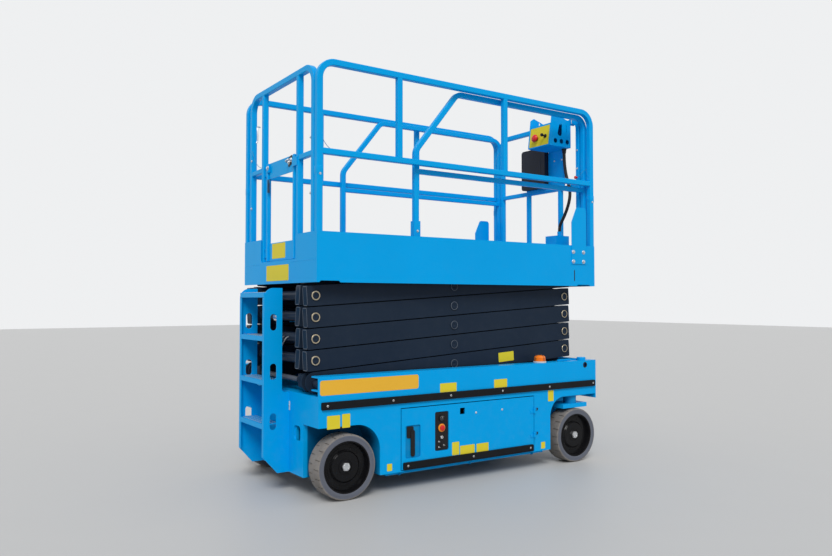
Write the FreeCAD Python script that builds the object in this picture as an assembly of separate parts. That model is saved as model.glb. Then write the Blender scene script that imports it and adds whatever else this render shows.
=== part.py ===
import FreeCAD, Part
import math
import os

os.makedirs("parts", exist_ok=True)
V = FreeCAD.Vector

# Frame: +X towards the steered end, +Y to the machine's left, +Z up, millimetres.
# The origin is on the floor, under the middle of the machine's outline.

# Overall places
chassis_front_x = 1198.0
chassis_length = 2265.0
chassis_half_width = 595.0
platform_overhang = 232.0
platform_extra_length = 31.0
platform_side_inset = 36.0
side_clearance = 5.0
seat_gap = 0.3

# Running gear
front_overhang = 205.5
rear_overhang = 188.5
tyre_radius = 190.5
tyre_width = 127.0
tyre_shoulder = 9.0
rim_radius = 152.0
rim_lip = 8.0
rim_dish = 34.0
rim_step_radius = 96.0
rim_step = 10.0
rim_web = 14.0
rim_barrel = 14.0
rim_slope = 10.0
rim_edge_inset = 2.0
spindle_radius = 20.0
hub_nut_radius = 22.0
hub_nut_length = 12.0
pin_clearance = 0.05
wheel_gap = 12.0

# Chassis tub
tub_bottom_z = 117.0
tub_top_z = 607.0
plate = 8.0
skin = 12.0
arch_side_gap = 31.0
arch_head_gap = 49.0
rear_arch_corner = 160.0
rear_arch_depth = 68.0
front_arch_reach = 255.5
front_arch_head_gap = 95.0
front_arch_radius = 133.0
nose_side_gap = 156.0
nose_setback = 48.0
nose_bottom_z = 250.0
front_plate_bottom_z = 445.0
tunnel_wall = 35.0
tunnel_rear_inset = 67.0
rear_window_inset = 85.0
rear_window_z = 367.0
rear_window_size = 88.0
rear_window_corner = 24.0

# Side beams: channels that also guide the lowest rollers
beam_height = 115.0
beam_width = 89.0
beam_web = 8.0
beam_flange = 8.0
tie_down_inset = 111.0
tie_down_drop = 32.0
tie_down_radius = 15.0

# Side doors with their swing-out trays
door_rear_inset = 152.0
door_front_inset = 157.0
door_sill = 10.0
door_head = 110.0
door_gap = 5.5
door_pocket_corner = 12.0
hinge_radius = 7.0
hinge_proud = 7.0
hinge_heights = (108.0, 273.0)
hinge_leaf = 34.0
hinge_leaf_thickness = 4.0
tray_side_gap = 23.0
tray_rear_inset = 65.0
tray_front_inset = 20.0
tray_rise = 6.0
tray_floor = 5.0
tray_lip = 40.0
battery_depth = 180.0
battery_height = 270.0
battery_count = 3
battery_end_gap = 92.0
battery_gap = 18.0
battery_side_gap = 12.0
latch_recess = (29.0, 140.0, 66.0, 265.0)
panel_recess = (250.0, 357.0, 86.0, 331.0)
recess_depth = 9.0
cable_hole = (447.0, 488.0, 300.0, 341.0)
cable_hole_corner = 5.0
panel_edge = 3.0
panel_thickness = 4.0
panel_buttons = ((42.0, 17.0, 5.0), (103.0, 22.0, 4.9), (162.0, 9.0, 5.0), (213.0, 8.0, 5.0))
latch_block = (14.0, 62.0, 78.0, 8.0)
latch_bar = (40.0, 70.0, 8.0, 30.0)
latch_corner = 8.0
latch_thickness = 5.0
latch_bar_height = 8.5

# Rubber strips
upper_strip_drop = 74.0
strip_height = 44.0
strip_proud = 12.0
strip_end_gap = 17.0
strip_corner = 8.0
door_strip_rear_gap = 10.0
door_strip_front_gap = 11.0

# Pothole guards under the tub
guard_rear_inset = 57.0
guard_front_inset = 47.0
guard_hinge_inset = 35.0
guard_hinge_drop = 13.0
guard_depth = 82.0
guard_thickness = 6.0
guard_rod_radius = 6.0
guard_lug_inset = 100.0
guard_lug_width = 14.0
guard_lug_radius = 12.0
guard_notch = 24.0

# Steering knuckles
kingpin_radius = 25.0
kingpin_housing_radius = 46.0
kingpin_housing_drop = 6.0
kingpin_top_gap = 4.0
yoke_plate_half_length = 119.0
yoke_plate_gap = 6.0
yoke_plate_thickness = 30.0
yoke_plate_inset = 10.0
yoke_arm_thickness = 25.0
yoke_arm_half_length = 78.0
yoke_arm_drop = 70.0
yoke_arm_corner = 30.0
yoke_arm_gap = 6.0
motor_radius = 74.0
motor_length = 117.0
hub_flange = 14.0
hub_neck = 8.0

# Ladder
ladder_reach = 166.0
ladder_half_width = 200.0
ladder_plate = 6.0
ladder_depth = 118.0
ladder_top_gap = 30.0
ladder_round = 60.0
ladder_chamfer = 100.0
ladder_chamfer_run = 90.0
ladder_step_corner = 18.0
ladder_fold = 26.0
ladder_shelf_gap = 4.0
rung_first_z = 415.0
rung_pitch = 264.0
rung_count = 4
rung_height = 30.0
rung_sheet = 4.0
slot_first_z = 428.0
slot_pitch = 299.0
slot_count = 3
slot_length = 100.0
slot_radius = 21.0
slot_inset = 61.0

# Scissor pack
level_count = 5
front_pin_inset = 197.0
first_pin_rise = 72.0
level_pitch = 127.0
arm_shortfall = 234.0
raised_angle = 65.3
arm_height = 120.0
arm_width = 60.0
arm_wall = 6.0
arm_end = 52.0
arm_short_end = 18.0
arm_corner = 8.0
arm_side_gap = 36.0
arm_pair_step = 100.0
arm_pin_radius = 24.0
arm_bush_wall = 10.0
arm_tube_radius = 30.0
pin_ring_radius = 28.0
pin_ring = 5.0
boss_gap = 0.3
roller_radius = 34.0
roller_width = 48.0
roller_side_gap = 8.0
roller_pin_gap = 6.0
upper_roller_radius = 24.0
upper_roller_width = 26.0
runway_margin = 53.0
runway_flange = 8.0
arm_gap = 6.0
centre_boss_radius = 38.0
bracket_foot = 70.0
bracket_head = 44.0
bracket_rise = 40.0
bracket_corner = 30.0
bracket_side_gap = 8.0

# Lift cylinder between two cross tubes
barrel_radius = 55.0
rod_radius = 36.0
eye_radius = 46.0
eye_width = 90.0
eye_bore_gap = 0.3
eye_overlap = 14.0
barrel_shortfall = 150.0
barrel_floor = 90.0
rod_foot = 100.0
rod_gap = 0.4
cylinder_cap = 40.0
cylinder_cap_radius = 60.0

# Platform
deck_rise = 96.0
skirt_drop = 146.0
skirt_rise = 151.0
deck_plate = 12.0
skirt_plate = 5.0
skirt_lip = 34.0
gate_opening = 540.0
gate_sill_corner = 18.0
notch_depth = 10.0
notch_length = 140.0
notch_rear_inset = 16.0
notch_front_inset = 46.0
lip_rise = 12.0
ear_foot = 60.0
ear_head = 34.0
ear_corner = 24.0
ear_side_gap = 6.0
ear_thickness = 14.0

# Guard rails: square tubes with rounded edges
rail_size = 38.0
rail_bar_size = 36.0
slim_rail_size = 35.0
slim_bar_size = 32.0
front_rail_size = 36.0
tube_corner = 5.0
rail_rise = 1150.0
rail_mid_rise = 620.0
rail_bend = 100.0
slim_rail_bend = 80.0
front_rail_bend = 60.0
rail_inset = 20.0
rear_rail_inset = 26.0
rear_rail_side_inset = 81.0
rear_rail_drop = 10.0
rail_pad = 6.0
rail_pad_half = 24.0
upper_post_insets = (574.0, 1435.0)
gate_post_y = 270.0

# Gate
gate_half_width = 218.0
gate_plate_drop = 70.0
gate_plate_height = 102.0
gate_foot_gap = 6.0
gate_toe_height = 116.0
gate_tube_size = 26.0
gate_plate = 5.0
gate_hinge_y = 233.0
gate_hinge_rise = 60.0
gate_barrel_radius = 9.0
gate_barrel_height = 44.0
gate_pin_radius = 5.0
gate_lug = 6.0
gate_stop_height = 54.0
gate_stop_thickness = 5.0

# Extension deck, drawn out to the front
extension_length = 1582.0
extension_post_inset = 73.0
extension_plate = 8.0
extension_lift = 6.0
extension_side_gap = 6.0
extension_toe_drop = 12.0
extension_rail_drop = 30.0
extension_mid_drop = 45.0
extension_bend_rise = 90.0
extension_diagonal_run = 330.0
extension_post_setback = 20.0
runner_width = 30.0
runner_inset = 30.0
runner_rear_gap = 10.0
toe_board = 4.0
front_rail_side_inset = 46.0
front_post_insets = (195.0, 326.0)
sleeve_size = 48.0
sleeve_height = 240.0

# Control station on the front rail's right end
control_depth = 227.4
control_side_inset = 68.0
control_width = 232.0
control_drop = 202.0
control_height = 172.0
control_peak = 248.0
cheek_step = 24.0
cheek_shoulder = 60.0
cheek_nose = 26.0
cheek_slope = 22.0
cheek_corner = 16.0
sheet = 4.0
control_lean = 23.0
control_face_inset = 3.0
control_floor_inset = 10.0
control_slot = (106.4, 14.0, 92.0, 130.0)
control_hole_radius = 13.0
control_hole_insets = (160.4, 98.4, 36.4)
control_hole_rise = 40.0
stop_button_radius = 26.0
stop_button_y = 144.0
stop_button_proud = 26.0
lever_y = 54.0
lever_radius = 13.0
lever_proud = 44.0
lever_rise = 8.0
knob_rise = 68.0
knob_head = 14.0
backing_side_inset = 62.0
backing_reach = 15.0
backing_lap = 4.0
control_clamp = 10.0
document_box_size = (42.0, 268.0, 320.0)
document_box_left_y = 135.0
document_box_rise = 22.0
document_box_corner = 22.0
junction_box_size = (132.0, 118.0, 226.0)
junction_box_gap = 2.7
junction_box_side = 20.0
cable_radius = 9.0
cable_top_inset = (20.4, 50.0, 0.5)
cable_end_rise = 34.7
cable_sway = ((0.136, 6.8, -0.5), (0.276, 15.8, -11.1), (0.404, 27.2, -31.6), (0.510, 32.5, -56.0),
              (0.619, 26.9, -62.5), (0.727, 18.4, -50.9), (0.829, 5.4, -33.3), (0.906, -2.7, -9.6),
              (0.953, -2.3, 0.2))
gland_radius = 17.0

# Corner plates outside the skirt
corner_plate_insets = (240.0, 92.0)
corner_plate_rises = (15.0, 432.0)
corner_plate_thickness = 6.0
corner_plate_slope = (52.0, 110.0)
corner_plate_corner = 24.0

# Flashing lamp on the right beam
beacon_inset = 55.0
beacon_radius = 40.0
beacon_base_radius = 46.0
beacon_base_height = 10.0
beacon_height = 52.0
beacon_round = 16.0

# Worked out from the sizes above: running gear and tub
chassis_rear_x = chassis_front_x - chassis_length
front_axle_x = chassis_front_x - front_overhang
rear_axle_x = chassis_rear_x + rear_overhang
wheel_mid_y = chassis_half_width - tyre_width / 2
wheel_inner_y = chassis_half_width - tyre_width
rear_arch_front_x = rear_axle_x + tyre_radius + arch_side_gap
rear_arch_top_z = 2 * tyre_radius + arch_head_gap
rear_arch_wall_y = wheel_inner_y - rear_arch_depth
tub_front_x = front_axle_x - front_arch_reach
front_arch_top_z = 2 * tyre_radius + front_arch_head_gap
nose_half_width = wheel_inner_y - nose_side_gap
nose_front_x = chassis_front_x - nose_setback
tunnel_half_width = nose_half_width - tunnel_wall
tunnel_rear_x = chassis_rear_x + tunnel_rear_inset
rear_window_y = rear_arch_wall_y - rear_window_inset
beam_top_z = tub_top_z + beam_height
beam_inner_y = chassis_half_width - beam_width
yoke_plate_bottom_z = 2 * tyre_radius + yoke_plate_gap
kingpin_housing_top_z = front_arch_top_z - kingpin_housing_drop
knuckle_arm_y = wheel_inner_y - yoke_arm_gap

# Worked out: doors and guards
door_rear_x = rear_arch_front_x + door_rear_inset
door_front_x = tub_front_x - door_front_inset
door_bottom_z = tub_bottom_z + door_sill
door_top_z = tub_top_z - door_head
hinge_y = chassis_half_width + hinge_proud + seat_gap
tray_inner_y = tunnel_half_width + tray_side_gap
tray_rear_x = door_rear_x + tray_rear_inset
tray_front_x = door_front_x - tray_front_inset
guard_rear_x = rear_arch_front_x + guard_rear_inset
guard_front_x = tub_front_x - guard_front_inset
guard_lug_xs = (guard_rear_x + guard_lug_inset, (guard_rear_x + guard_front_x) / 2,
                guard_front_x - guard_lug_inset)
guard_hinge_y = chassis_half_width - guard_hinge_inset
guard_hinge_z = tub_bottom_z - guard_hinge_drop

# Worked out: scissor and platform
arm_length = chassis_length - arm_shortfall
front_pin_x = chassis_front_x - front_pin_inset
first_pin_z = tub_top_z + first_pin_rise
rest_angle = math.asin(level_pitch / arm_length)
rear_pin_x = front_pin_x - arm_length * math.cos(rest_angle)
track_floor_z = first_pin_z - roller_radius - seat_gap
track_roof_z = first_pin_z + roller_radius + seat_gap
top_pin_z = first_pin_z + level_count * level_pitch
outer_arm_face_y = beam_inner_y - arm_side_gap
inner_arm_face_y = outer_arm_face_y - arm_pair_step
runway_bottom_z = top_pin_z + upper_roller_radius + seat_gap
runway_front_x = front_pin_x - arm_length * math.cos(math.radians(raised_angle)) + runway_margin
platform_front_x = front_pin_x + platform_overhang
platform_rear_x = platform_front_x - chassis_length - platform_extra_length
platform_half_width = chassis_half_width - platform_side_inset
deck_z = top_pin_z + deck_rise
skirt_bottom_z = deck_z - skirt_drop
skirt_top_z = deck_z + skirt_rise
ladder_rear_x = chassis_rear_x - ladder_reach
ladder_top_z = skirt_bottom_z - ladder_top_gap

# Worked out: rails, gate and extension
rail_top_z = deck_z + rail_rise
rail_mid_z = deck_z + rail_mid_rise
rear_rail_x = platform_rear_x + rear_rail_inset
rear_rail_half_width = platform_half_width - rear_rail_side_inset
gate_plate_bottom_z = rail_mid_z - gate_plate_drop
gate_plate_top_z = gate_plate_bottom_z + gate_plate_height
gate_bottom_z = deck_z + gate_foot_gap
gate_hinge_zs = (deck_z + gate_hinge_rise, (gate_plate_bottom_z + gate_plate_top_z) / 2)
extension_floor_z = deck_z + extension_lift + extension_plate
extension_deck_x = platform_front_x - skirt_plate - side_clearance
extension_rear_x = platform_front_x - extension_length
extension_post_y = platform_half_width - extension_post_inset
extension_front_x = extension_deck_x - toe_board - seat_gap - front_rail_size / 2
extension_rail_top_z = rail_top_z - extension_rail_drop
front_rail_half_width = extension_post_y - front_rail_side_inset
front_post_ys = (front_post_insets[0] - front_rail_half_width, front_rail_half_width - front_post_insets[1])

# Worked out: control station
control_front_x = extension_front_x - slim_bar_size / 2 - seat_gap
control_rear_x = control_front_x - control_depth
control_right_y = -front_rail_half_width + control_side_inset
control_left_y = control_right_y + control_width
control_bottom_z = extension_rail_top_z - control_drop
control_top_z = control_bottom_z + control_height
backing_x = control_front_x - sheet
face_slope = control_lean / control_height
junction_box_x = extension_front_x - front_rail_size / 2 - junction_box_gap - junction_box_size[0]
junction_box_y = control_right_y + junction_box_side
cable_top = V(control_front_x - cable_top_inset[0], control_right_y + cable_top_inset[1],
              control_bottom_z - cable_top_inset[2])
cable_end = V(junction_box_x + junction_box_size[0] / 2, cable_top.y + 4.0,
              extension_floor_z + seat_gap + junction_box_size[2] + cable_end_rise)


def box(x0, x1, y0, y1, z0, z1):
    return Part.makeBox(x1 - x0, y1 - y0, z1 - z0, V(x0, y0, z0))


def rod_along(axis, radius, start, length):
    direction = {"x": V(1, 0, 0), "y": V(0, 1, 0), "z": V(0, 0, 1)}[axis]
    return Part.makeCylinder(radius, length, V(*start), direction)


def mirrored(shape):
    return shape.mirror(V(0, 0, 0), V(0, 1, 0))


def both_sides(shape):
    return [shape, mirrored(shape)]


def fused(shapes):
    whole = shapes[0]
    for shape in shapes[1:]:
        whole = whole.fuse(shape)
    return whole.removeSplitter()


def outline_wire(points, to_vector):
    """Closed outline; each point is (a, b) or (a, b, r) with r its corner radius."""
    count = len(points)
    corners = []
    for index, point in enumerate(points):
        here = V(point[0], point[1], 0)
        radius = point[2] if len(point) > 2 else 0
        before = V(points[index - 1][0], points[index - 1][1], 0)
        after = V(points[(index + 1) % count][0], points[(index + 1) % count][1], 0)
        if radius <= 0:
            corners.append((here, None, here))
            continue
        back = (before - here).normalize()
        ahead = (after - here).normalize()
        half = back.getAngle(ahead) / 2
        reach = radius / math.tan(half)
        inward = (back + ahead).normalize()
        middle = here + inward * (radius / math.sin(half) - radius)
        corners.append((here + back * reach, middle, here + ahead * reach))
    edges = []
    for index, (start, middle, end) in enumerate(corners):
        if middle is not None:
            edges.append(Part.Arc(to_vector(start), to_vector(middle), to_vector(end)).toShape())
        following = corners[(index + 1) % count][0]
        if (following - end).Length > 1e-6:
            edges.append(Part.LineSegment(to_vector(end), to_vector(following)).toShape())
    return Part.Wire(edges)


def slab_y(points, y0, y1):
    """A plate whose outline is drawn in X and Z."""
    wire = outline_wire(points, lambda p: V(p.x, y0, p.y))
    return Part.Face(wire).extrude(V(0, y1 - y0, 0))


def slab_x(points, x0, x1):
    """A plate whose outline is drawn in Y and Z."""
    wire = outline_wire(points, lambda p: V(x0, p.x, p.y))
    return Part.Face(wire).extrude(V(x1 - x0, 0, 0))


def slab_z(points, z0, z1):
    """A plate whose outline is drawn in X and Y."""
    wire = outline_wire(points, lambda p: V(p.x, p.y, z0))
    return Part.Face(wire).extrude(V(0, 0, z1 - z0))


def rectangle(a0, a1, b0, b1, corner=0.0):
    return [(a0, b0, corner), (a1, b0, corner), (a1, b1, corner), (a0, b1, corner)]


def square_bar(axis, size, start, length):
    """A straight tube with rounded edges; start is the middle of its first end."""
    half = size / 2
    x, y, z = start
    if axis == "x":
        return slab_x(rectangle(y - half, y + half, z - half, z + half, tube_corner), x, x + length)
    if axis == "y":
        return slab_y(rectangle(x - half, x + half, z - half, z + half, tube_corner), y, y + length)
    return slab_z(rectangle(x - half, x + half, y - half, y + half, tube_corner), z, z + length)


def bent_tube(points, normal, size, bend):
    """A square tube in the plane across the normal, with an arc at each inner point."""
    path = [V(*p) for p in points]
    plane = V(*normal)
    half = size / 2
    pieces = []
    start = path[0]
    for index in range(1, len(path)):
        here = path[index]
        along = (here - path[index - 1]).normalize()
        side = along.cross(plane)

        def section(place):
            wire = outline_wire(rectangle(-half, half, -half, half, tube_corner),
                                lambda p: place + side * p.x + plane * p.y)
            return Part.Face(wire)

        if index == len(path) - 1:
            pieces.append(section(start).extrude(here - start))
            break
        ahead = (path[index + 1] - here).normalize()
        opening = (along * -1).getAngle(ahead) / 2
        reach = bend / math.tan(opening)
        stop = here - along * reach
        centre = here + (ahead - along).normalize() * (bend / math.sin(opening))
        pieces.append(section(start).extrude(stop - start))
        turn = 180 - 2 * math.degrees(opening)
        pieces.append(section(stop).revolve(centre, along.cross(ahead).normalize(), turn))
        start = here + ahead * reach
    return fused(pieces)


def save(name, shapes):
    shape = shapes if isinstance(shapes, Part.Shape) else Part.makeCompound(shapes)
    solids = shape.Solids
    shape = solids[0] if len(solids) == 1 else Part.makeCompound(solids)
    shape.exportStep("parts/" + name + ".step")
    low = shape.BoundBox
    print(f"{name}: {len(solids)} solids, valid {shape.isValid()}, "
          f"x {low.XMin:.0f} {low.XMax:.0f} y {low.YMin:.0f} {low.YMax:.0f} z {low.ZMin:.0f} {low.ZMax:.0f}")


# Chassis: tub, side beams, arches and the pivot brackets of the lowest arms
def arch_profile_front():
    return [
        (tub_front_x, tub_bottom_z - 1),
        (tub_front_x, front_arch_top_z, front_arch_radius),
        (chassis_front_x + 1, front_arch_top_z),
        (chassis_front_x + 1, tub_bottom_z - 1),
    ]


def hinge_knuckles(on_door):
    """Two knuckles a hinge: the lower half rides on the door, the upper on the tub."""
    pieces = []
    x = door_front_x + door_gap / 2
    half = hinge_leaf / 2
    for rise in hinge_heights:
        middle = door_bottom_z + rise
        low = middle - half if on_door else middle + seat_gap
        height = half - seat_gap
        barrel = rod_along("z", hinge_radius, (x, hinge_y, low), height)
        reach = -hinge_leaf if on_door else hinge_leaf
        leaf = box(min(x, x + reach), max(x, x + reach), chassis_half_width,
                   chassis_half_width + hinge_leaf_thickness, low, low + height)
        pieces.append(barrel.fuse(leaf))
    return pieces


def make_tub():
    """The tub, cut into the pieces it is welded from: end boxes, top deck, left bay channel, left skin."""
    w = chassis_half_width
    tub = box(chassis_rear_x, chassis_front_x, -w, w, tub_bottom_z, tub_top_z)
    # rear arches, open to the rear and the side
    rear_arch = slab_y(
        [(chassis_rear_x - 1, tub_bottom_z - 1),
         (rear_arch_front_x, tub_bottom_z - 1),
         (rear_arch_front_x, rear_arch_top_z, rear_arch_corner),
         (chassis_rear_x - 1, rear_arch_top_z)],
        rear_arch_wall_y, w + 1)
    # front arches, wide enough for the wheels at full lock
    front_arch = slab_y(arch_profile_front(), nose_half_width, w + 1)
    cuts = both_sides(rear_arch) + both_sides(front_arch)
    # the nose between the steered wheels
    cuts.append(box(nose_front_x, chassis_front_x + 1, -w, w, tub_bottom_z - 1, front_plate_bottom_z))
    cuts.append(box(tub_front_x, chassis_front_x + 1, -w, w, tub_bottom_z - 1, nose_bottom_z))
    # centre tunnel, open below
    cuts.append(box(tunnel_rear_x, nose_front_x - plate, -tunnel_half_width, tunnel_half_width,
                    tub_bottom_z - 1, tub_top_z - plate))
    cuts.append(box(nose_front_x - plate - 1, chassis_front_x - plate, -tunnel_half_width, tunnel_half_width,
                    front_plate_bottom_z, tub_top_z - plate))
    # side compartments behind the doors
    bay = box(rear_arch_front_x + plate, tub_front_x - plate, tunnel_half_width + plate, w - skin,
              tub_bottom_z + plate, tub_top_z - plate)
    doorway = box(door_rear_x - door_gap, door_front_x + door_gap, w - skin - 1, w + 1,
                  door_bottom_z - door_gap, door_top_z + door_gap)
    # hollows above the arches
    rear_hollow = box(chassis_rear_x + plate, rear_arch_front_x - plate, rear_arch_wall_y, w - skin,
                      rear_arch_top_z + plate, tub_top_z - plate)
    front_hollow = box(tub_front_x + plate, chassis_front_x - plate, nose_half_width, w - skin,
                       front_arch_top_z - 1, tub_top_z - plate)
    rear_cell = box(chassis_rear_x + plate, rear_arch_front_x - plate, tunnel_half_width + plate,
                    rear_arch_wall_y - plate, tub_bottom_z - 1, tub_top_z - plate)
    window = slab_x(rectangle(rear_window_y - rear_window_size / 2, rear_window_y + rear_window_size / 2,
                              rear_window_z - rear_window_size / 2, rear_window_z + rear_window_size / 2,
                              rear_window_corner),
                    chassis_rear_x - 1, chassis_rear_x + plate + 1)
    for cut in (bay, doorway, rear_hollow, front_hollow, rear_cell, window):
        cuts += both_sides(cut)
    tub = tub.cut(cuts)
    front = chassis_front_x - plate
    inner = w - skin
    under_deck = tub_top_z - plate
    channel_box = box(rear_arch_front_x + plate, tub_front_x - plate, tunnel_half_width, inner,
                      tub_bottom_z, under_deck)
    ends = tub.common(box(chassis_rear_x, front, -inner, inner, tub_bottom_z, under_deck))
    return (ends.cut(both_sides(channel_box)),
            tub.common(box(chassis_rear_x, front, -inner, inner, under_deck, tub_top_z)),
            tub.common(channel_box),
            tub.common(box(chassis_rear_x, front, inner, w, tub_bottom_z, tub_top_z)))


def make_beam():
    """A channel along one side, open inwards, with the tie-down bore through its web."""
    w = chassis_half_width
    front = chassis_front_x - plate
    beam = box(chassis_rear_x, front, beam_inner_y, w, tub_top_z, beam_top_z)
    return beam.cut([
        box(chassis_rear_x - 1, front + 1, beam_inner_y - 1, w - beam_web, track_floor_z, track_roof_z),
        box(chassis_rear_x - 1, front + 1, beam_inner_y - 1, w - beam_web,
            tub_top_z + 1, track_floor_z - beam_flange),
        rod_along("y", tie_down_radius,
                  (chassis_front_x - tie_down_inset, beam_inner_y - 2, beam_top_z - tie_down_drop), w),
    ])


def make_frame(ends):
    """The end boxes with the front plate and the kingpin housings under the front arches."""
    w = chassis_half_width
    front_plate = box(chassis_front_x - plate, chassis_front_x, -w, w, front_plate_bottom_z, beam_top_z)
    housing = rod_along("z", kingpin_housing_radius,
                        (front_axle_x, wheel_mid_y, yoke_plate_bottom_z + yoke_plate_thickness + seat_gap),
                        kingpin_housing_top_z - yoke_plate_bottom_z - yoke_plate_thickness)
    bridge = box(front_axle_x - yoke_plate_half_length, front_axle_x + yoke_plate_half_length,
                 nose_half_width - 2, w - skin, kingpin_housing_top_z, front_arch_top_z + plate)
    bore = rod_along("z", kingpin_radius + pin_clearance,
                     (front_axle_x, wheel_mid_y, yoke_plate_bottom_z),
                     kingpin_housing_top_z - yoke_plate_bottom_z - kingpin_top_gap)
    return fused([ends, front_plate] + both_sides(housing.fuse(bridge).cut(bore)))


def make_tub_deck(deck):
    """The top sheet with the brackets that hold the lowest inner arms."""
    bracket_points = [
        (front_pin_x - bracket_foot, tub_top_z - 1),
        (front_pin_x + bracket_foot, tub_top_z - 1),
        (front_pin_x + bracket_head, first_pin_z + bracket_rise, bracket_corner),
        (front_pin_x - bracket_head, first_pin_z + bracket_rise, bracket_corner),
    ]
    bracket = slab_y(bracket_points, outer_arm_face_y - arm_width + bracket_side_gap,
                     outer_arm_face_y - bracket_side_gap)
    bracket = bracket.cut(rod_along("y", arm_pin_radius + pin_clearance,
                                    (front_pin_x, 0, first_pin_z), chassis_half_width))
    return fused([deck] + both_sides(bracket))


def make_bay_channel(channel):
    """Inner wall and floor of one side compartment, with the lugs of the guard's rod."""
    pieces = [channel]
    r = guard_lug_radius
    for x in guard_lug_xs:
        lug = slab_x([(guard_hinge_y - r, tub_bottom_z + 1), (guard_hinge_y - r, guard_hinge_z - r, r - 1),
                      (guard_hinge_y + r, guard_hinge_z - r, r - 1), (guard_hinge_y + r, tub_bottom_z + 1)],
                     x - guard_lug_width / 2, x + guard_lug_width / 2)
        pieces.append(lug.cut(rod_along("x", guard_rod_radius + pin_clearance,
                                        (x - guard_lug_width, guard_hinge_y, guard_hinge_z),
                                        2 * guard_lug_width)))
    return fused(pieces)


end_boxes, top_sheet, bay_channel, side_skin = make_tub()
save("chassis_frame", make_frame(end_boxes))
save("tub_deck", make_tub_deck(top_sheet))
save("bay_channels", both_sides(make_bay_channel(bay_channel)))
save("side_panels", both_sides(fused([side_skin] + hinge_knuckles(False))))
save("side_beams", both_sides(make_beam()))


# Ladder at the rear, its plates running down beside the tub
def make_ladder():
    rear, front = ladder_rear_x, ladder_rear_x + ladder_depth
    low = tub_bottom_z
    profile = [
        (rear, low + ladder_chamfer),
        (rear + ladder_chamfer_run, low),
        (chassis_rear_x, low),
        (chassis_rear_x, tub_top_z - ladder_shelf_gap),
        (front, tub_top_z - ladder_shelf_gap, ladder_step_corner),
        (front, ladder_top_z),
        (rear, ladder_top_z, ladder_round),
    ]
    stringer = slab_y(profile, ladder_half_width - ladder_plate, ladder_half_width)
    cuts = []
    for index in range(slot_count):
        middle = slot_first_z + index * slot_pitch
        cuts.append(slab_y(rectangle(rear + slot_inset - slot_radius, rear + slot_inset + slot_radius,
                                     middle - slot_length / 2, middle + slot_length / 2,
                                     slot_radius - 0.5),
                           ladder_half_width - ladder_plate - 1, ladder_half_width + 1))
    stringer = stringer.cut(cuts)
    # folded rear edge of each plate
    flange = box(rear, rear + ladder_plate, ladder_half_width - ladder_fold, ladder_half_width,
                 low + ladder_chamfer, ladder_top_z - ladder_round)
    sides = both_sides(stringer.fuse(flange))
    pieces = list(sides)
    inner = ladder_half_width - ladder_plate
    for index in range(rung_count):
        top = rung_first_z + index * rung_pitch
        tread = box(rear, front, -inner, inner, top - rung_height, top)
        hollow = box(rear + rung_sheet, front - rung_sheet, -inner - 1, inner + 1,
                     top - rung_height - 1, top - rung_sheet)
        pieces.append(tread.cut(hollow))
    return fused(pieces)


save("ladder", make_ladder())


# Strips that take the knocks along the sides
def strip(x0, x1, z0):
    y = chassis_half_width
    return slab_y(rectangle(x0, x1, z0, z0 + strip_height, strip_corner), y, y + strip_proud)


save("side_strips", both_sides(strip(chassis_rear_x + strip_end_gap, chassis_front_x - strip_end_gap,
                                     tub_top_z - upper_strip_drop)))


# Doors, built for the left side and mirrored for the right
def on_door(place):
    """Edges x0, x1, z0, z1 of a place given from the door's rear bottom corner."""
    return place[0] + door_rear_x, place[1] + door_rear_x, place[2] + door_bottom_z, place[3] + door_bottom_z


def make_door():
    y = chassis_half_width
    door = box(door_rear_x, door_front_x, y - skin, y, door_bottom_z, door_top_z)
    cuts = []
    for x0, x1, z0, z1 in (on_door(latch_recess), on_door(panel_recess)):
        cuts.append(slab_y(rectangle(x0, x1, z0, z1, door_pocket_corner), y - recess_depth, y + 1))
    x0, x1, z0, z1 = on_door(cable_hole)
    cuts.append(slab_y(rectangle(x0, x1, z0, z1, cable_hole_corner), y - skin - 1, y + 1))
    return door.cut(cuts)


def make_tray():
    y = chassis_half_width - skin
    low = door_bottom_z + tray_rise
    tray = box(tray_rear_x, tray_front_x, tray_inner_y, y, low, low + tray_lip)
    return tray.cut(box(tray_rear_x + tray_floor, tray_front_x - tray_floor, tray_inner_y + tray_floor,
                        y - tray_floor, low + tray_floor, door_top_z))


def make_batteries():
    room = tray_front_x - tray_rear_x - 2 * battery_end_gap + battery_gap
    pitch = room / battery_count
    first = tray_rear_x + battery_end_gap
    z = door_bottom_z + tray_rise + tray_floor
    y = tray_inner_y + tray_floor + battery_side_gap
    return [box(first + i * pitch, first + (i + 1) * pitch - battery_gap,
                y, y + battery_depth, z, z + battery_height)
            for i in range(battery_count)]


door = fused([make_door()] + hinge_knuckles(True))
door_strip = strip(door_rear_x + door_strip_rear_gap, door_front_x - door_strip_front_gap, door_bottom_z)
tray = make_tray()
for side, place in (("left", lambda s: s), ("right", mirrored)):
    save(side + "_door", place(door))
    save(side + "_door_strip", place(door_strip))
    save(side + "_tray", place(tray))
    save(side + "_batteries", [place(b) for b in make_batteries()])


# Ground control panel and door latch, set in the recesses of the right door
def make_ground_panel():
    x0, x1, z0, z1 = on_door(panel_recess)
    y = chassis_half_width - recess_depth
    face = slab_y(rectangle(x0 + panel_edge, x1 - panel_edge, z0 + panel_edge, z1 - panel_edge,
                            door_pocket_corner - panel_edge), y, y + panel_thickness)
    pieces = [face]
    for drop, radius, height in panel_buttons:
        pieces.append(rod_along("y", radius, ((x0 + x1) / 2, y + panel_thickness - 1, z1 - drop), height))
    return fused(pieces)


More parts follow.
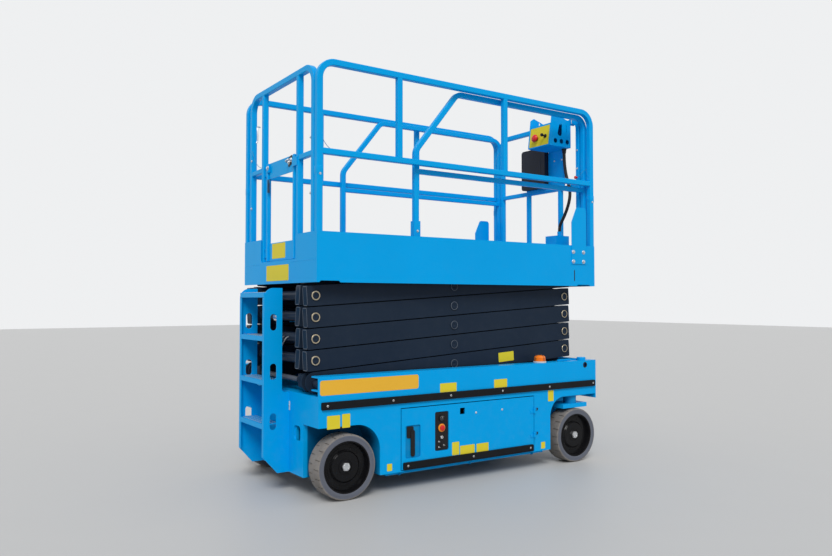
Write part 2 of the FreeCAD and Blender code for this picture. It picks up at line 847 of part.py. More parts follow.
def make_latch():
    x0, x1, z0, z1 = on_door(latch_recess)
    y = chassis_half_width - recess_depth
    near, far, low, high = latch_block
    back = slab_y(rectangle(x0 + near, x0 + far, z1 - low, z1 - high, latch_corner), y, y + latch_thickness)
    near, far, low, high = latch_bar
    bar = slab_y(rectangle(x0 + near, x0 + far, z0 + low, z1 - high, door_pocket_corner),
                 y + latch_thickness - 1, y + latch_bar_height)
    return fused([back, bar])


save("left_door_fittings", make_latch())
save("right_door_fittings", [mirrored(make_ground_panel()), mirrored(make_latch())])


# Pothole guards: plates on rods under the tub, folded up level at rest
def make_guard():
    plate_shape = box(guard_rear_x, guard_front_x, guard_hinge_y - guard_depth, guard_hinge_y,
                      guard_hinge_z - guard_thickness / 2, guard_hinge_z + guard_thickness / 2)
    notches = [box(x - guard_lug_width, x + guard_lug_width, guard_hinge_y - guard_notch, guard_hinge_y + 1,
                   guard_hinge_z - guard_thickness, guard_hinge_z + guard_thickness) for x in guard_lug_xs]
    rod = rod_along("x", guard_rod_radius, (guard_rear_x, guard_hinge_y, guard_hinge_z),
                    guard_front_x - guard_rear_x)
    return plate_shape.cut(notches).fuse(rod)


save("left_pothole_guard", make_guard())
save("right_pothole_guard", mirrored(make_guard()))


# Wheels: one tyre and one dished rim each
def wheel_solid(profile, x):
    """Turns a profile of (distance from the inner face, radius) about the wheel's axle."""
    wire = outline_wire(profile, lambda p: V(x, wheel_inner_y + p.x, tyre_radius + p.y))
    return Part.Face(wire).revolve(V(x, 0, tyre_radius), V(0, 1, 0), 360)


def make_tyre(x):
    return wheel_solid(
        [(0, rim_radius), (0, tyre_radius, tyre_shoulder),
         (tyre_width, tyre_radius, tyre_shoulder), (tyre_width, rim_radius)], x)


def make_rim(x):
    inner = rim_edge_inset
    outer = tyre_width - rim_edge_inset
    dish = tyre_width - rim_dish
    bore = spindle_radius + pin_clearance
    barrel = rim_radius - rim_barrel
    return wheel_solid(
        [(dish - rim_web, bore), (dish - rim_web, rim_step_radius), (wheel_gap, barrel - yoke_arm_gap),
         (inner, barrel), (inner, rim_radius), (outer, rim_radius), (outer, rim_radius - rim_lip),
         (dish, rim_radius - rim_lip - rim_slope), (dish, rim_step_radius),
         (dish + rim_step, rim_step_radius - rim_slope), (dish + rim_step, bore)], x)


def spindle(x, from_y):
    """The axle end that carries a wheel, with its nut in the rim's dish."""
    face_y = wheel_inner_y + tyre_width - rim_dish + rim_step
    shaft = rod_along("y", spindle_radius, (x, from_y, tyre_radius), face_y + 4 - from_y)
    nut = rod_along("y", hub_nut_radius, (x, face_y + seat_gap, tyre_radius), hub_nut_length)
    return shaft.fuse(nut)


for name, x in (("front", front_axle_x), ("rear", rear_axle_x)):
    for side, place in (("left", lambda s: s), ("right", mirrored)):
        save(f"{name}_{side}_tyre", place(make_tyre(x)))
        save(f"{name}_{side}_rim", place(make_rim(x)))


# Rear axle ends, bolted to the arch walls
def make_rear_hub():
    flange = rod_along("y", motor_radius + hub_flange, (rear_axle_x, rear_arch_wall_y, tyre_radius),
                       hub_flange)
    drum = rod_along("y", motor_radius, (rear_axle_x, rear_arch_wall_y, tyre_radius),
                     wheel_inner_y - rear_arch_wall_y + 2)
    return fused([flange, drum, spindle(rear_axle_x, rear_arch_wall_y)])


save("rear_axle_ends", both_sides(make_rear_hub()))


# Steering knuckles: yoke over the wheel, drive motor on its inner side
def make_knuckle():
    x, y = front_axle_x, wheel_mid_y
    top = yoke_plate_bottom_z + yoke_plate_thickness
    arm_y = knuckle_arm_y
    low = tyre_radius - yoke_arm_drop
    plate_top = box(x - yoke_plate_half_length, x + yoke_plate_half_length, arm_y - yoke_arm_thickness,
                    chassis_half_width - yoke_plate_inset, yoke_plate_bottom_z, top)
    arm = slab_y([(x - yoke_arm_half_length, top), (x + yoke_arm_half_length, top),
                  (x + yoke_arm_half_length, low, yoke_arm_corner),
                  (x - yoke_arm_half_length, low, yoke_arm_corner)],
                 arm_y - yoke_arm_thickness, arm_y)
    motor = rod_along("y", motor_radius, (x, arm_y - motor_length, tyre_radius), motor_length)
    drum = rod_along("y", motor_radius - hub_neck, (x, arm_y - 1, tyre_radius),
                     wheel_inner_y + 2 - arm_y)
    pin = rod_along("z", kingpin_radius, (x, y, top - 1), kingpin_housing_top_z - top - kingpin_top_gap - 1)
    return fused([plate_top, arm, motor, drum, pin, spindle(x, arm_y - 1)])


save("left_knuckle", make_knuckle())
save("right_knuckle", mirrored(make_knuckle()))


# Scissor arms. Every level has an inner pair, falling to the front, and an
# outer pair, rising to the front; all share the front and rear pin lines.
def arm_bar(face_y, low_end, high_end):
    """A level box tube from (0, 0) to (arm_length, 0), ends beyond the pins as given."""
    inner_y = face_y - arm_width
    half = arm_height / 2
    corner = half - arm_wall if low_end > arm_end else arm_corner
    outline = [(-low_end, -half, corner), (arm_length + high_end, -half, arm_corner),
               (arm_length + high_end, half, arm_corner), (-low_end, half, corner)]
    bar = slab_y(outline, inner_y, face_y)
    hollow = box(-low_end - 1, arm_length + high_end + 1, inner_y + arm_wall, face_y - arm_wall,
                 -half + arm_wall, half - arm_wall)
    bar = bar.cut(hollow)
    return bar


def across(radius, x, y0, y1):
    return rod_along("y", radius, (x, y0, 0), y1 - y0)


def placed(shape, pin_x, pin_z, angle):
    """Turns a level arm about its lower pin and sets that pin in place."""
    moved = shape.copy()
    moved.rotate(V(0, 0, 0), V(0, 1, 0), angle)
    moved.translate(V(pin_x, 0, pin_z))
    return moved


def make_inner_pair(level):
    """Lower pins at the front, upper pins at the rear; its two cross tubes carry the pins."""
    low_end = arm_height / 2 if level == 1 else arm_end
    high_end = arm_end if level < level_count else arm_short_end
    bar = arm_bar(inner_arm_face_y, low_end, high_end)
    inner_y = inner_arm_face_y - arm_width
    outer = outer_arm_face_y
    pieces = both_sides(bar)
    between = outer - arm_width - boss_gap
    for x, boss_radius in ((0.0, arm_tube_radius), (arm_length / 2, centre_boss_radius),
                           (arm_length, arm_tube_radius)):
        if level == level_count and x == arm_length:
            # the topmost rear ends carry the rollers of the platform's runways
            roller_y = inner_arm_face_y + arm_gap
            pieces.append(across(upper_roller_radius, x, -inner_arm_face_y, inner_arm_face_y))
            pieces += both_sides(across(upper_roller_radius - arm_gap, x, inner_y, roller_y))
            pieces += both_sides(across(upper_roller_radius, x, roller_y, roller_y + upper_roller_width))
            continue
        if x != arm_length / 2:
            pieces.append(across(arm_tube_radius, x, -inner_arm_face_y, inner_arm_face_y))
        pieces += both_sides(across(arm_pin_radius, x, inner_y, outer + pin_ring))
        pieces += both_sides(across(pin_ring_radius, x, outer + seat_gap, outer + pin_ring))
        pieces += both_sides(across(boss_radius, x, inner_arm_face_y - 1, between))
    return fused(pieces)


def make_outer_pair(level):
    """Lower pins at the rear, upper pins at the front; bushes turn on the inner pair's pins."""
    low_end = arm_height / 2 if level == 1 else arm_end
    bar = arm_bar(outer_arm_face_y, low_end, arm_end)
    bores = []
    inner_y = outer_arm_face_y - arm_width
    for x in (0.0, arm_length / 2, arm_length):
        bar = bar.fuse(across(arm_pin_radius + arm_bush_wall, x, inner_y, outer_arm_face_y))
        bores.append(across(arm_pin_radius + pin_clearance, x, inner_y - 1, outer_arm_face_y + 1))
    if level == 1:
        # the lowest rear ends carry the rollers of the chassis track
        del bores[0]
        roller_y = beam_inner_y + roller_side_gap
        bar = bar.fuse(across(arm_pin_radius, 0.0, inner_y, chassis_half_width - beam_web - roller_pin_gap))
        bar = bar.fuse(across(roller_radius, 0.0, roller_y, roller_y + roller_width))
    return both_sides(bar.cut(bores))


angle_deg = math.degrees(rest_angle)
for level in range(1, level_count + 1):
    pin_z = first_pin_z + (level - 1) * level_pitch
    inner = make_inner_pair(level)
    inner.rotate(V(0, 0, 0), V(0, 0, 1), 180)
    save(f"inner_arms_{level}", placed(inner, front_pin_x, pin_z, angle_deg))
    outer = [placed(bar, rear_pin_x, pin_z, -angle_deg) for bar in make_outer_pair(level)]
    save(f"outer_arms_{level}", outer)


# Lift cylinder from the front tube of the second level to the rear tube of the third
def make_cylinder():
    low = V(front_pin_x, 0, first_pin_z + level_pitch)
    high = V(rear_pin_x, 0, first_pin_z + 3 * level_pitch)
    line = high - low
    length = line.Length
    direction = V(line).normalize()
    bore = arm_tube_radius + eye_bore_gap
    eye = rod_along("y", eye_radius, (low.x, -eye_width / 2, low.z), eye_width)
    foot = eye_radius - eye_overlap
    barrel = Part.makeCylinder(barrel_radius, length - barrel_shortfall - foot,
                               low + direction * foot, direction)
    cap = Part.makeCylinder(cylinder_cap_radius, cylinder_cap,
                            low + direction * (length - barrel_shortfall - cylinder_cap), direction)
    hollow = Part.makeCylinder(rod_radius + rod_gap, length, low + direction * barrel_floor, direction)
    barrel = barrel.fuse([eye, cap]).cut(hollow)
    barrel = barrel.cut(rod_along("y", bore, (low.x, -eye_width, low.z), 2 * eye_width))
    rod = Part.makeCylinder(rod_radius, length - rod_foot - bore, low + direction * rod_foot, direction)
    top_eye = rod_along("y", eye_radius, (high.x, -eye_width / 2, high.z), eye_width)
    rod = rod.fuse(top_eye).cut(rod_along("y", bore, (high.x, -eye_width, high.z), 2 * eye_width))
    return barrel, rod


barrel, rod = make_cylinder()
save("lift_cylinder_barrel", barrel)
save("lift_cylinder_rod", rod)


# Platform deck: skirt all round, floor, and the channels of the upper rollers
def make_deck():
    x0, x1, w = platform_rear_x, platform_front_x, platform_half_width
    inner_floor_z = deck_z - deck_plate
    pieces = []
    side = box(x0, x1, w - skirt_plate, w, skirt_bottom_z, skirt_top_z)
    notches = []
    for start in (x0 + notch_rear_inset, x1 - notch_front_inset - notch_length):
        notches.append(slab_y([(start, skirt_bottom_z - 1), (start + notch_length, skirt_bottom_z - 1),
                               (start + notch_length - notch_depth, skirt_bottom_z + notch_depth),
                               (start + notch_depth, skirt_bottom_z + notch_depth)],
                              w - skirt_plate - 1, w + 1))
    side = side.cut(notches)
    lower_lip = box(x0, x1, w - skirt_lip, w,
                    skirt_bottom_z + lip_rise, skirt_bottom_z + lip_rise + skirt_plate)
    pieces += both_sides(side.fuse(lower_lip))
    floor = box(x0, x1, -w, w, inner_floor_z, deck_z)
    pieces.append(floor)
    rear = box(x0, x0 + skirt_plate, -w, w, skirt_bottom_z, skirt_top_z)
    sill = gate_opening / 2
    rear = rear.cut(slab_x([(-sill, skirt_top_z + 1), (-sill, deck_z, gate_sill_corner),
                            (sill, deck_z, gate_sill_corner), (sill, skirt_top_z + 1)],
                           x0 - 1, x0 + skirt_plate + 1))
    pieces.append(rear)
    front = box(x1 - skirt_plate, x1, -w, w, skirt_bottom_z, deck_z)
    pieces.append(front)
    # runways of the upper rollers, under the floor
    y0 = inner_arm_face_y + arm_gap
    y1 = y0 + upper_roller_width
    web_y = (y0 + y1 - runway_flange) / 2
    flange = box(x0 + skirt_plate, runway_front_x, y0, y1, runway_bottom_z, runway_bottom_z + runway_flange)
    web = box(x0 + skirt_plate, runway_front_x, web_y, web_y + runway_flange, runway_bottom_z, inner_floor_z)
    pieces += both_sides(flange.fuse(web))
    # pads under the feet of the side rails
    for x in (x0 + rail_inset, x1 - rail_inset):
        pad = box(max(x0, x - rail_pad_half), min(x1, x + rail_pad_half), w - 2 * rail_inset - 1, w,
                  skirt_top_z - rail_pad, skirt_top_z)
        pieces += both_sides(pad)
    # brackets of the top outer arms
    points = [(front_pin_x - ear_foot, inner_floor_z + 1), (front_pin_x + ear_foot, inner_floor_z + 1),
              (front_pin_x + ear_head, top_pin_z - ear_head, ear_corner),
              (front_pin_x - ear_head, top_pin_z - ear_head, ear_corner)]
    ear_y = outer_arm_face_y + ear_side_gap
    ear = slab_y(points, ear_y, ear_y + ear_thickness)
    pin = rod_along("y", arm_pin_radius, (front_pin_x, outer_arm_face_y - arm_width, top_pin_z),
                    arm_width + ear_side_gap + ear_thickness + 1)
    pieces += both_sides(ear.fuse(pin))
    return fused(pieces)


save("platform_deck", make_deck())


# Guard rails of the main platform
def make_side_rail():
    y = platform_half_width - rail_inset
    x0 = platform_rear_x + rail_inset
    x1 = platform_front_x - rail_inset
    top, mid = rail_top_z, rail_mid_z
    hoop = bent_tube([(x0, y, skirt_top_z + seat_gap), (x0, y, top), (x1, y, top),
                      (x1, y, skirt_top_z + seat_gap)], (0, 1, 0), rail_size, rail_bend)
    bar = square_bar("x", rail_bar_size, (x0, y, mid), x1 - x0)
    posts = [square_bar("z", rail_bar_size, (platform_rear_x + inset, y, mid), top - mid)
             for inset in upper_post_insets]
    return fused([hoop, bar] + posts)


save("left_side_rail", make_side_rail())
save("right_side_rail", mirrored(make_side_rail()))


def make_rear_rail():
    x = rear_rail_x
    w = rear_rail_half_width
    top, mid = rail_top_z - rear_rail_drop, rail_mid_z
    foot = deck_z + seat_gap
    hoop = bent_tube([(x, -w, foot), (x, -w, top), (x, w, top), (x, w, foot)],
                     (1, 0, 0), rail_size, rail_bend)
    pieces = [hoop]
    for side in (-1, 1):
        pieces.append(square_bar("z", rail_bar_size, (x, side * gate_post_y, foot), top - foot))
        pieces.append(square_bar("y", slim_bar_size, (x, min(side * w, side * gate_post_y), mid),
                                 w - gate_post_y))
    # lugs of the gate's hinges on the left post
    for middle in gate_hinge_zs:
        half = gate_barrel_height / 2 + seat_gap
        for z in (middle + half, middle - half - gate_lug):
            lug = box(x - gate_barrel_radius, x + gate_barrel_radius, gate_hinge_y - gate_barrel_radius,
                      gate_post_y, z, z + gate_lug)
            bore = rod_along("z", gate_pin_radius + pin_clearance, (x, gate_hinge_y, z - 1), gate_lug + 2)
            pieces.append(lug.cut(bore))
    # stop that keeps the gate from opening outwards
    stop_x = x - gate_tube_size / 2 - side_clearance - gate_stop_thickness
    low = (gate_plate_bottom_z + gate_plate_top_z - gate_stop_height) / 2
    high = low + gate_stop_height
    pieces.append(box(stop_x, stop_x + gate_stop_thickness,
                      -gate_post_y, -gate_half_width + gate_tube_size / 2, low, high))
    pieces.append(box(stop_x, x, -gate_post_y - gate_stop_thickness, -gate_post_y, low, high))
    return fused(pieces)


save("rear_rail", make_rear_rail())


def make_gate():
    x = rear_rail_x
    w = gate_half_width
    plate_x = x - gate_plate / 2
    tube_y = w - gate_tube_size / 2
    toe = box(plate_x, plate_x + gate_plate, -tube_y, tube_y, gate_bottom_z, gate_bottom_z + gate_toe_height)
    top = box(plate_x, plate_x + gate_plate, -tube_y, tube_y, gate_plate_bottom_z, gate_plate_top_z)
    pieces = [toe, top]
    for side in (-1, 1):
        pieces.append(square_bar("z", gate_tube_size, (x, side * tube_y, gate_bottom_z),
                                 gate_plate_top_z - gate_bottom_z))
    for middle in gate_hinge_zs:
        half = gate_barrel_height / 2
        pieces.append(rod_along("z", gate_barrel_radius, (x, gate_hinge_y, middle - half), 2 * half))
        pieces.append(rod_along("z", gate_pin_radius, (x, gate_hinge_y, middle - half - gate_lug),
                                2 * half + 2 * gate_lug))
        pieces.append(box(plate_x, plate_x + gate_plate, tube_y, gate_hinge_y, middle - half, middle + half))
    return fused(pieces)


save("entry_gate", make_gate())


# Extension deck and its rails
def make_extension_deck():
    x0, x1 = extension_rear_x, extension_deck_x
    w = platform_half_width - skirt_plate - extension_side_gap
    z0 = deck_z + extension_lift
    toe_top_z = skirt_top_z - extension_toe_drop
    floor = box(x0, x1, -w, w, z0, extension_floor_z)
    toe_front = box(x1 - toe_board, x1, -w, w, z0, toe_top_z)
    toe_side = box(x0, x1, w - toe_board, w, z0, toe_top_z)
    runner = box(x0 + runner_rear_gap, x1 - runner_inset, w - runner_inset - runner_width, w - runner_inset,
                 deck_z + seat_gap, z0 + 1)
    return fused([floor, toe_front] + both_sides(toe_side) + both_sides(runner))


save("extension_deck", make_extension_deck())


def make_extension_side():
    y = extension_post_y
    foot = extension_floor_z
    x0 = extension_rear_x + extension_post_setback
    x1 = extension_front_x
    top = extension_rail_top_z
    hoop = bent_tube([(x0, y, foot), (x0, y, rail_mid_z + extension_bend_rise),
                      (x0 + extension_diagonal_run, y, top), (x1, y, top), (x1, y, foot)],
                     (0, 1, 0), slim_rail_size, slim_rail_bend)
    bar = square_bar("x", slim_bar_size, (x0, y, rail_mid_z - extension_mid_drop), x1 - x0)
    sleeve = square_bar("z", sleeve_size, (x0, y, foot), sleeve_height)
    return fused([hoop, bar, sleeve])


save("extension_left_rail", make_extension_side())
save("extension_right_rail", mirrored(make_extension_side()))


def make_front_rail():
    x = extension_front_x
    w = front_rail_half_width
    foot = extension_floor_z
    top, mid = extension_rail_top_z, rail_mid_z
    hoop = bent_tube([(x, -w, foot), (x, -w, top), (x, w, top), (x, w, foot)],
                     (1, 0, 0), front_rail_size, front_rail_bend)
    bar = square_bar("y", slim_bar_size, (x, -w, mid), 2 * w)
    posts = [square_bar("z", slim_bar_size, (x, y, foot), mid - foot) for y in front_post_ys]
    return fused([hoop, bar] + posts)


save("front_rail", make_front_rail())


# Plates bolted outside the skirt at the front corners
def make_corner_plate():
    x0, x1 = [platform_front_x - inset for inset in corner_plate_insets]
    z0, z1 = [deck_z + rise for rise in corner_plate_rises]
    run, drop = corner_plate_slope
    r = corner_plate_corner
    y = platform_half_width
    return slab_y([(x0, z0), (x1, z0), (x1, z1, r), (x0 + run, z1, r), (x0, z1 - drop, r)],
                  y, y + corner_plate_thickness)


save("front_corner_plates", both_sides(make_corner_plate()))


# Control station: a folded housing hung on the front rail, and the sheet below it
def make_control_housing():
    x0, x1 = control_rear_x, control_front_x
    z0, z1 = control_bottom_z, control_top_z
    peak = control_bottom_z + control_peak
    cheek_points = [(x0, z0, cheek_corner / 2), (x1, z0), (x1, z1 + cheek_step, cheek_corner / 2),
                    (x0 + cheek_shoulder, peak, cheek_corner),
                    (x0 + cheek_nose, peak - cheek_slope, cheek_corner)]
    y = control_right_y
    cheek = slab_y(cheek_points, y, y + sheet)
    # a frame at the corner of each cheek goes round the rail's top tube
    x, z = extension_front_x, extension_rail_top_z
    bore, ring = [slab_y(rectangle(x - half, x + half, z - half, z + half,
                                   tube_corner + half - front_rail_size / 2),
                         y - margin, y + sheet + margin)
                  for half, margin in ((front_rail_size / 2 + seat_gap, 1),
                                       (front_rail_size / 2 + control_clamp, 0))]
    inset, width, length, rise = control_slot
    middle, low = x1 - inset, z0 + rise
    half = width / 2
    cuts = [bore, slab_y(rectangle(middle - half, middle + half, low, low + length, half - 0.5),
                         y - 1, y + sheet + 1)]
    for inset in control_hole_insets:
        cuts.append(rod_along("y", control_hole_radius,
                              (x1 - inset, y - 1, z0 + control_hole_rise), sheet + 2))
    right = cheek.fuse(ring).cut(cuts)
    left = right.copy()
    left.translate(V(0, control_width - sheet, 0))
    face_x = x0 + control_face_inset
    floor = box(x0 + control_floor_inset, x1, y + 1, control_left_y - 1, z0, z0 + sheet)
    face = slab_y([(face_x, z0), (face_x + sheet, z0), (face_x + sheet + control_lean, z1),
                   (face_x + control_lean, z1)], y + 1, control_left_y - 1)
    lid = box(face_x + control_lean, x1, y + 1, control_left_y - 1, z1 - sheet, z1)
    backing = box(backing_x, backing_x + sheet, y + backing_side_inset, document_box_left_y - backing_reach,
                  rail_mid_z - backing_lap, z0)
    rear = box(backing_x, backing_x + sheet, y + 1, control_left_y - 1, z0 - 1, z1)
    return fused([right, left, floor, face, lid, backing, rear])


save("control_housing", make_control_housing())


def make_control_knobs():
    knobs = []
    for side, rise, radius, proud in (
            (stop_button_y, knob_rise, stop_button_radius, stop_button_proud),
            (lever_y, knob_rise + lever_rise, lever_radius, lever_proud)):
        y, z = control_right_y + side, control_bottom_z + rise
        start = control_rear_x - proud
        face = control_rear_x + control_face_inset + (rise - radius / 2) * face_slope - seat_gap
        head = rod_along("x", radius, (start, y, z), knob_head)
        stem = rod_along("x", radius / 2, (start, y, z), face - start)
        knobs.append(head.fuse(stem))
    return knobs


save("control_knobs", make_control_knobs())


def make_document_box():
    depth, width, height = document_box_size
    x1 = backing_x - seat_gap
    y1 = document_box_left_y
    z0 = rail_mid_z + document_box_rise
    return slab_x(rectangle(y1 - width, y1, z0, z0 + height, document_box_corner), x1 - depth, x1)


save("document_box", make_document_box())


def make_junction_box():
    length, width, height = junction_box_size
    foot = extension_floor_z + seat_gap
    body = box(junction_box_x, junction_box_x + length, junction_box_y, junction_box_y + width,
               foot, foot + height)
    gland = rod_along("z", gland_radius, (cable_end.x, cable_end.y, foot + height - 1),
                      cable_end.z - seat_gap - foot - height + 1)
    return body.fuse(gland)


save("junction_box", make_junction_box())


def make_cable():
    """Straight runs joined by arcs as large as the two runs beside them allow."""
    run = cable_end - cable_top
    bends = [cable_top + run * share + V(dx, dy, 0) for share, dx, dy in cable_sway]
    path = [cable_top] + bends + [cable_end]
    edges = []
    start = path[0]
    for index in range(1, len(path) - 1):
        here = path[index]
        before = path[index - 1] - here
        after = path[index + 1] - here
        reach = 0.45 * min(before.Length, after.Length)
        back, ahead = before.normalize(), after.normalize()
        half = back.getAngle(ahead) / 2
        radius = reach * math.tan(half)
        inward = (back + ahead).normalize()
        middle = here + inward * (radius / math.sin(half) - radius)
        first, last = here + back * reach, here + ahead * reach
        edges.append(Part.LineSegment(start, first).toShape())
        edges.append(Part.Arc(first, middle, last).toShape())
        start = last
        print(f"cable bend {index}: radius {radius:.0f}")
    edges.append(Part.LineSegment(start, path[-1]).toShape())
    wire = Part.Wire(edges)
    section = Part.Wire(Part.Circle(path[0], (path[1] - path[0]).normalize(), cable_radius).toShape())
    tube = wire.makePipeShell([section], True, False)
    print(f"cable length {wire.Length:.0f}, volume ratio "
          f"{tube.Volume / (wire.Length * math.pi * cable_radius ** 2):.4f}")
    return tube


save("control_cable", make_cable())


# Flashing lamp: a clear dome on its base
def make_beacon():
    y = -(beam_inner_y + chassis_half_width) / 2
    x = tub_front_x - beacon_inset
    base = rod_along("z", beacon_base_radius, (x, y, beam_top_z), beacon_base_height)
    dome = rod_along("z", beacon_radius, (x, y, beam_top_z + beacon_base_height - 1), beacon_height)
    dome = dome.makeFillet(beacon_round, [edge for edge in dome.Edges
                                  if edge.BoundBox.ZMin > beam_top_z + beacon_height])
    return base.fuse(dome)


save("beacon", make_beacon())
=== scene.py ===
import math

import bpy
from mathutils import Euler, Matrix, Vector


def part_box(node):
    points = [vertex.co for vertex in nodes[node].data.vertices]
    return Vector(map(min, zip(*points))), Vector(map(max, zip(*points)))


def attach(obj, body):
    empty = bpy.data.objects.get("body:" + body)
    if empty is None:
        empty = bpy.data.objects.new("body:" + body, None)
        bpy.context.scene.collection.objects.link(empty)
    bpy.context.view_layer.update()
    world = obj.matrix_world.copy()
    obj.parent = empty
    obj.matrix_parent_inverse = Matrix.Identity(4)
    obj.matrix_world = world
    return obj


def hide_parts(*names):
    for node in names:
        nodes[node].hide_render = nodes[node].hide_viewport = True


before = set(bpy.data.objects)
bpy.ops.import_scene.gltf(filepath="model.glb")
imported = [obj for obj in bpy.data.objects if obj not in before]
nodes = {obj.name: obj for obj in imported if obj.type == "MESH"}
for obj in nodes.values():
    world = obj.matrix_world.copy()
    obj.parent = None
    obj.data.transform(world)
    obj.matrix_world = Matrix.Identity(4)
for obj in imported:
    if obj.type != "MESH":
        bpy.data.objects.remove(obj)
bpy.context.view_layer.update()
print("frame loaded,", len(nodes), "nodes")


# A socket's value as a number that Python can add, scale and compare
class shaderValue:
    def __init__(self, tree, socket):
        self.tree, self.socket = tree, socket

    def maths(self, operation, *others):
        step = self.tree.nodes.new("ShaderNodeMath")
        step.operation = operation
        for place, value in zip(step.inputs, (self, *others)):
            if isinstance(value, shaderValue):
                self.tree.links.new(value.socket, place)
            else:
                place.default_value = value
        return shaderValue(self.tree, step.outputs[0])

    def __add__(self, other):
        return self.maths("ADD", other)

    def __sub__(self, other):
        return self.maths("SUBTRACT", other)

    def __mul__(self, other):
        return self.maths("MULTIPLY", other)

    def __truediv__(self, other):
        return self.maths("DIVIDE", other)

    def __rsub__(self, other):
        return self * -1 + other

    __radd__ = __add__
    __rmul__ = __mul__

    def above(self, edge, soft):
        return ((self - edge) / soft).maths("MAXIMUM", 0.0).maths("MINIMUM", 1.0)


# One material: its nodes are added by node, and its shader is filled by set
class surfaceLook:
    def __init__(self, name):
        self.material = bpy.data.materials.new(name)
        self.material.use_nodes = True
        self.tree = self.material.node_tree
        self.shader = self.tree.nodes["Principled BSDF"]
        self.place = self.node("ShaderNodeTexCoord", {}, {}, "Object")

    def node(self, kind, settings, sockets, output=0):
        made = self.tree.nodes.new(kind)
        for key, value in settings.items():
            setattr(made, key, value)
        for key, value in sockets.items():
            if isinstance(value, shaderValue):
                self.tree.links.new(value.socket, made.inputs[key])
            else:
                made.inputs[key].default_value = value
        return shaderValue(self.tree, made.outputs[output])

    def noise(self, scale, detail=3.0, roughness=0.55, at=None):
        sockets = {"Vector": at or self.place, "Scale": scale, "Detail": detail, "Roughness": roughness}
        return self.node("ShaderNodeTexNoise", {}, sockets)

    def stretched(self, x, y, z):
        return self.node("ShaderNodeMapping", {}, {"Vector": self.place, "Scale": (x, y, z)})

    def axis(self, letter):
        return self.node("ShaderNodeSeparateXYZ", {}, {"Vector": self.place}, "XYZ".index(letter))

    def blend(self, factor, first, second):
        return self.node("ShaderNodeMix", {"data_type": "RGBA"},
                         {0: factor, 6: first if isinstance(first, shaderValue) else (*first, 1.0),
                          7: second if isinstance(second, shaderValue) else (*second, 1.0)}, 2)

    def bump(self, height, strength, distance=0.001):
        return self.node("ShaderNodeBump", {}, {"Height": height, "Strength": strength, "Distance": distance})

    def set(self, **values):
        for key, value in values.items():
            place = self.shader.inputs[key.replace("_", " ")]
            if isinstance(value, shaderValue):
                self.tree.links.new(value.socket, place)
            elif isinstance(value, tuple):
                place.default_value = (*value, 1.0)
            else:
                place.default_value = value
        return self.material


dustColour = (0.33, 0.32, 0.30)
enamel = {"cloudScale": 2.3, "grimeScale": 17.0, "glossScale": 40.0, "peelScale": 420.0, "coatRoughness": 0.1,
          "dustFoot": 0.05, "dustRise": 0.6}
# Painted shade: low walls behind the outer skin, such as the wheel arches and the doors' latch recess, are
# painted darker as if in shade
paintedShade = {"colour": (0.0, 0.045, 0.12), "edge": 0.35, "deep": 0.50, "reach": 0.10, "topZ": 0.55,
          "endX": 1.045}


# The share of painted shade at a place: a little just behind the skin, more further in
def paintedShadeShare(look, skin):
    depth = skin - look.axis("Y").maths("ABSOLUTE")
    below = (paintedShade["topZ"] - look.axis("Z")).above(0, 0.03)
    between = (paintedShade["endX"] - look.axis("X").maths("ABSOLUTE")).above(0, 0.01)
    dark = depth.above(0, 0.004) * paintedShade["edge"] + depth.above(0, paintedShade["reach"]) * paintedShade["deep"]
    return below * between * dark


# Sprayed enamel: slow colour drift, orange peel, and road dust that thickens towards the ground; given a
# skin, also painted shade on the walls behind it
def paint(name, colour, shade, rough, dust, gloss=0.3, coat=0.04, ior=1.2, skin=0.0):
    look = surfaceLook(name)
    cloud = look.noise(enamel["cloudScale"], 4.0)
    grime = look.noise(enamel["grimeScale"], 6.0, 0.7)
    low = 1 - look.axis("Z").above(enamel["dustFoot"], enamel["dustRise"])
    worn = grime.above(0.48, 0.25) * (low * 0.8 + 0.2) * dust
    body = look.blend(cloud.above(0.3, 0.5), colour, shade)
    # painted shade on the walls behind the outer skin
    if skin:
        body = look.blend(paintedShadeShare(look, skin), body, paintedShade["colour"])
    return look.set(Base_Color=look.blend(worn, body, dustColour),
                    Roughness=look.noise(enamel["glossScale"], 3.0) * 0.12 + rough + worn * 0.4,
                    Normal=look.bump(look.noise(enamel["peelScale"], 2.0), 0.05, 0.0006),
                    Coat_Weight=coat, Coat_Roughness=enamel["coatRoughness"],
                    Specular_IOR_Level=gloss, IOR=ior)


# Rubber: fine grain with dusty patches
def rubber(name, colour, dusty, rough, dust=0.6, gloss=0.25):
    look = surfaceLook(name)
    grain = look.noise(260.0, 4.0, 0.7)
    patch = look.noise(9.0, 5.0, 0.6) * 0.6 + look.noise(60.0, 4.0, 0.7) * 0.4
    return look.set(Base_Color=look.blend(patch.above(0.42, 0.25) * dust, colour, dusty),
                    Roughness=grain * 0.12 + rough, Specular_IOR_Level=gloss,
                    Normal=look.bump(grain, 0.3, 0.0008))


# Bare metal with fine lines along the given stretch
def metal(name, colour, rough, brushed, tarnish=0.0):
    look = surfaceLook(name)
    lines = look.noise(30.0, 3.0, 0.6, look.stretched(*brushed))
    spots = look.noise(55.0, 5.0, 0.7).above(0.5, 0.2) * tarnish
    body = look.blend(lines, tuple(c * 0.86 for c in colour), colour)
    return look.set(Base_Color=look.blend(spots, body, tuple(c * 0.35 for c in colour)), Metallic=1.0,
                    Roughness=lines * 0.16 + rough + spots * 0.3, Normal=look.bump(lines, 0.06, 0.0005))


# Moulded plastic with a fine spark-eroded grain
def plastic(name, colour, rough, grainScale=320.0, strength=0.18, gloss=0.4):
    look = surfaceLook(name)
    grain = look.noise(grainScale, 3.0)
    pale = tuple(c * 0.8 + 0.008 for c in colour)
    return look.set(Base_Color=look.blend(look.noise(6.0) * 0.4, colour, pale),
                    Roughness=grain * 0.1 + rough, Specular_IOR_Level=gloss,
                    Normal=look.bump(grain, strength, 0.0006))


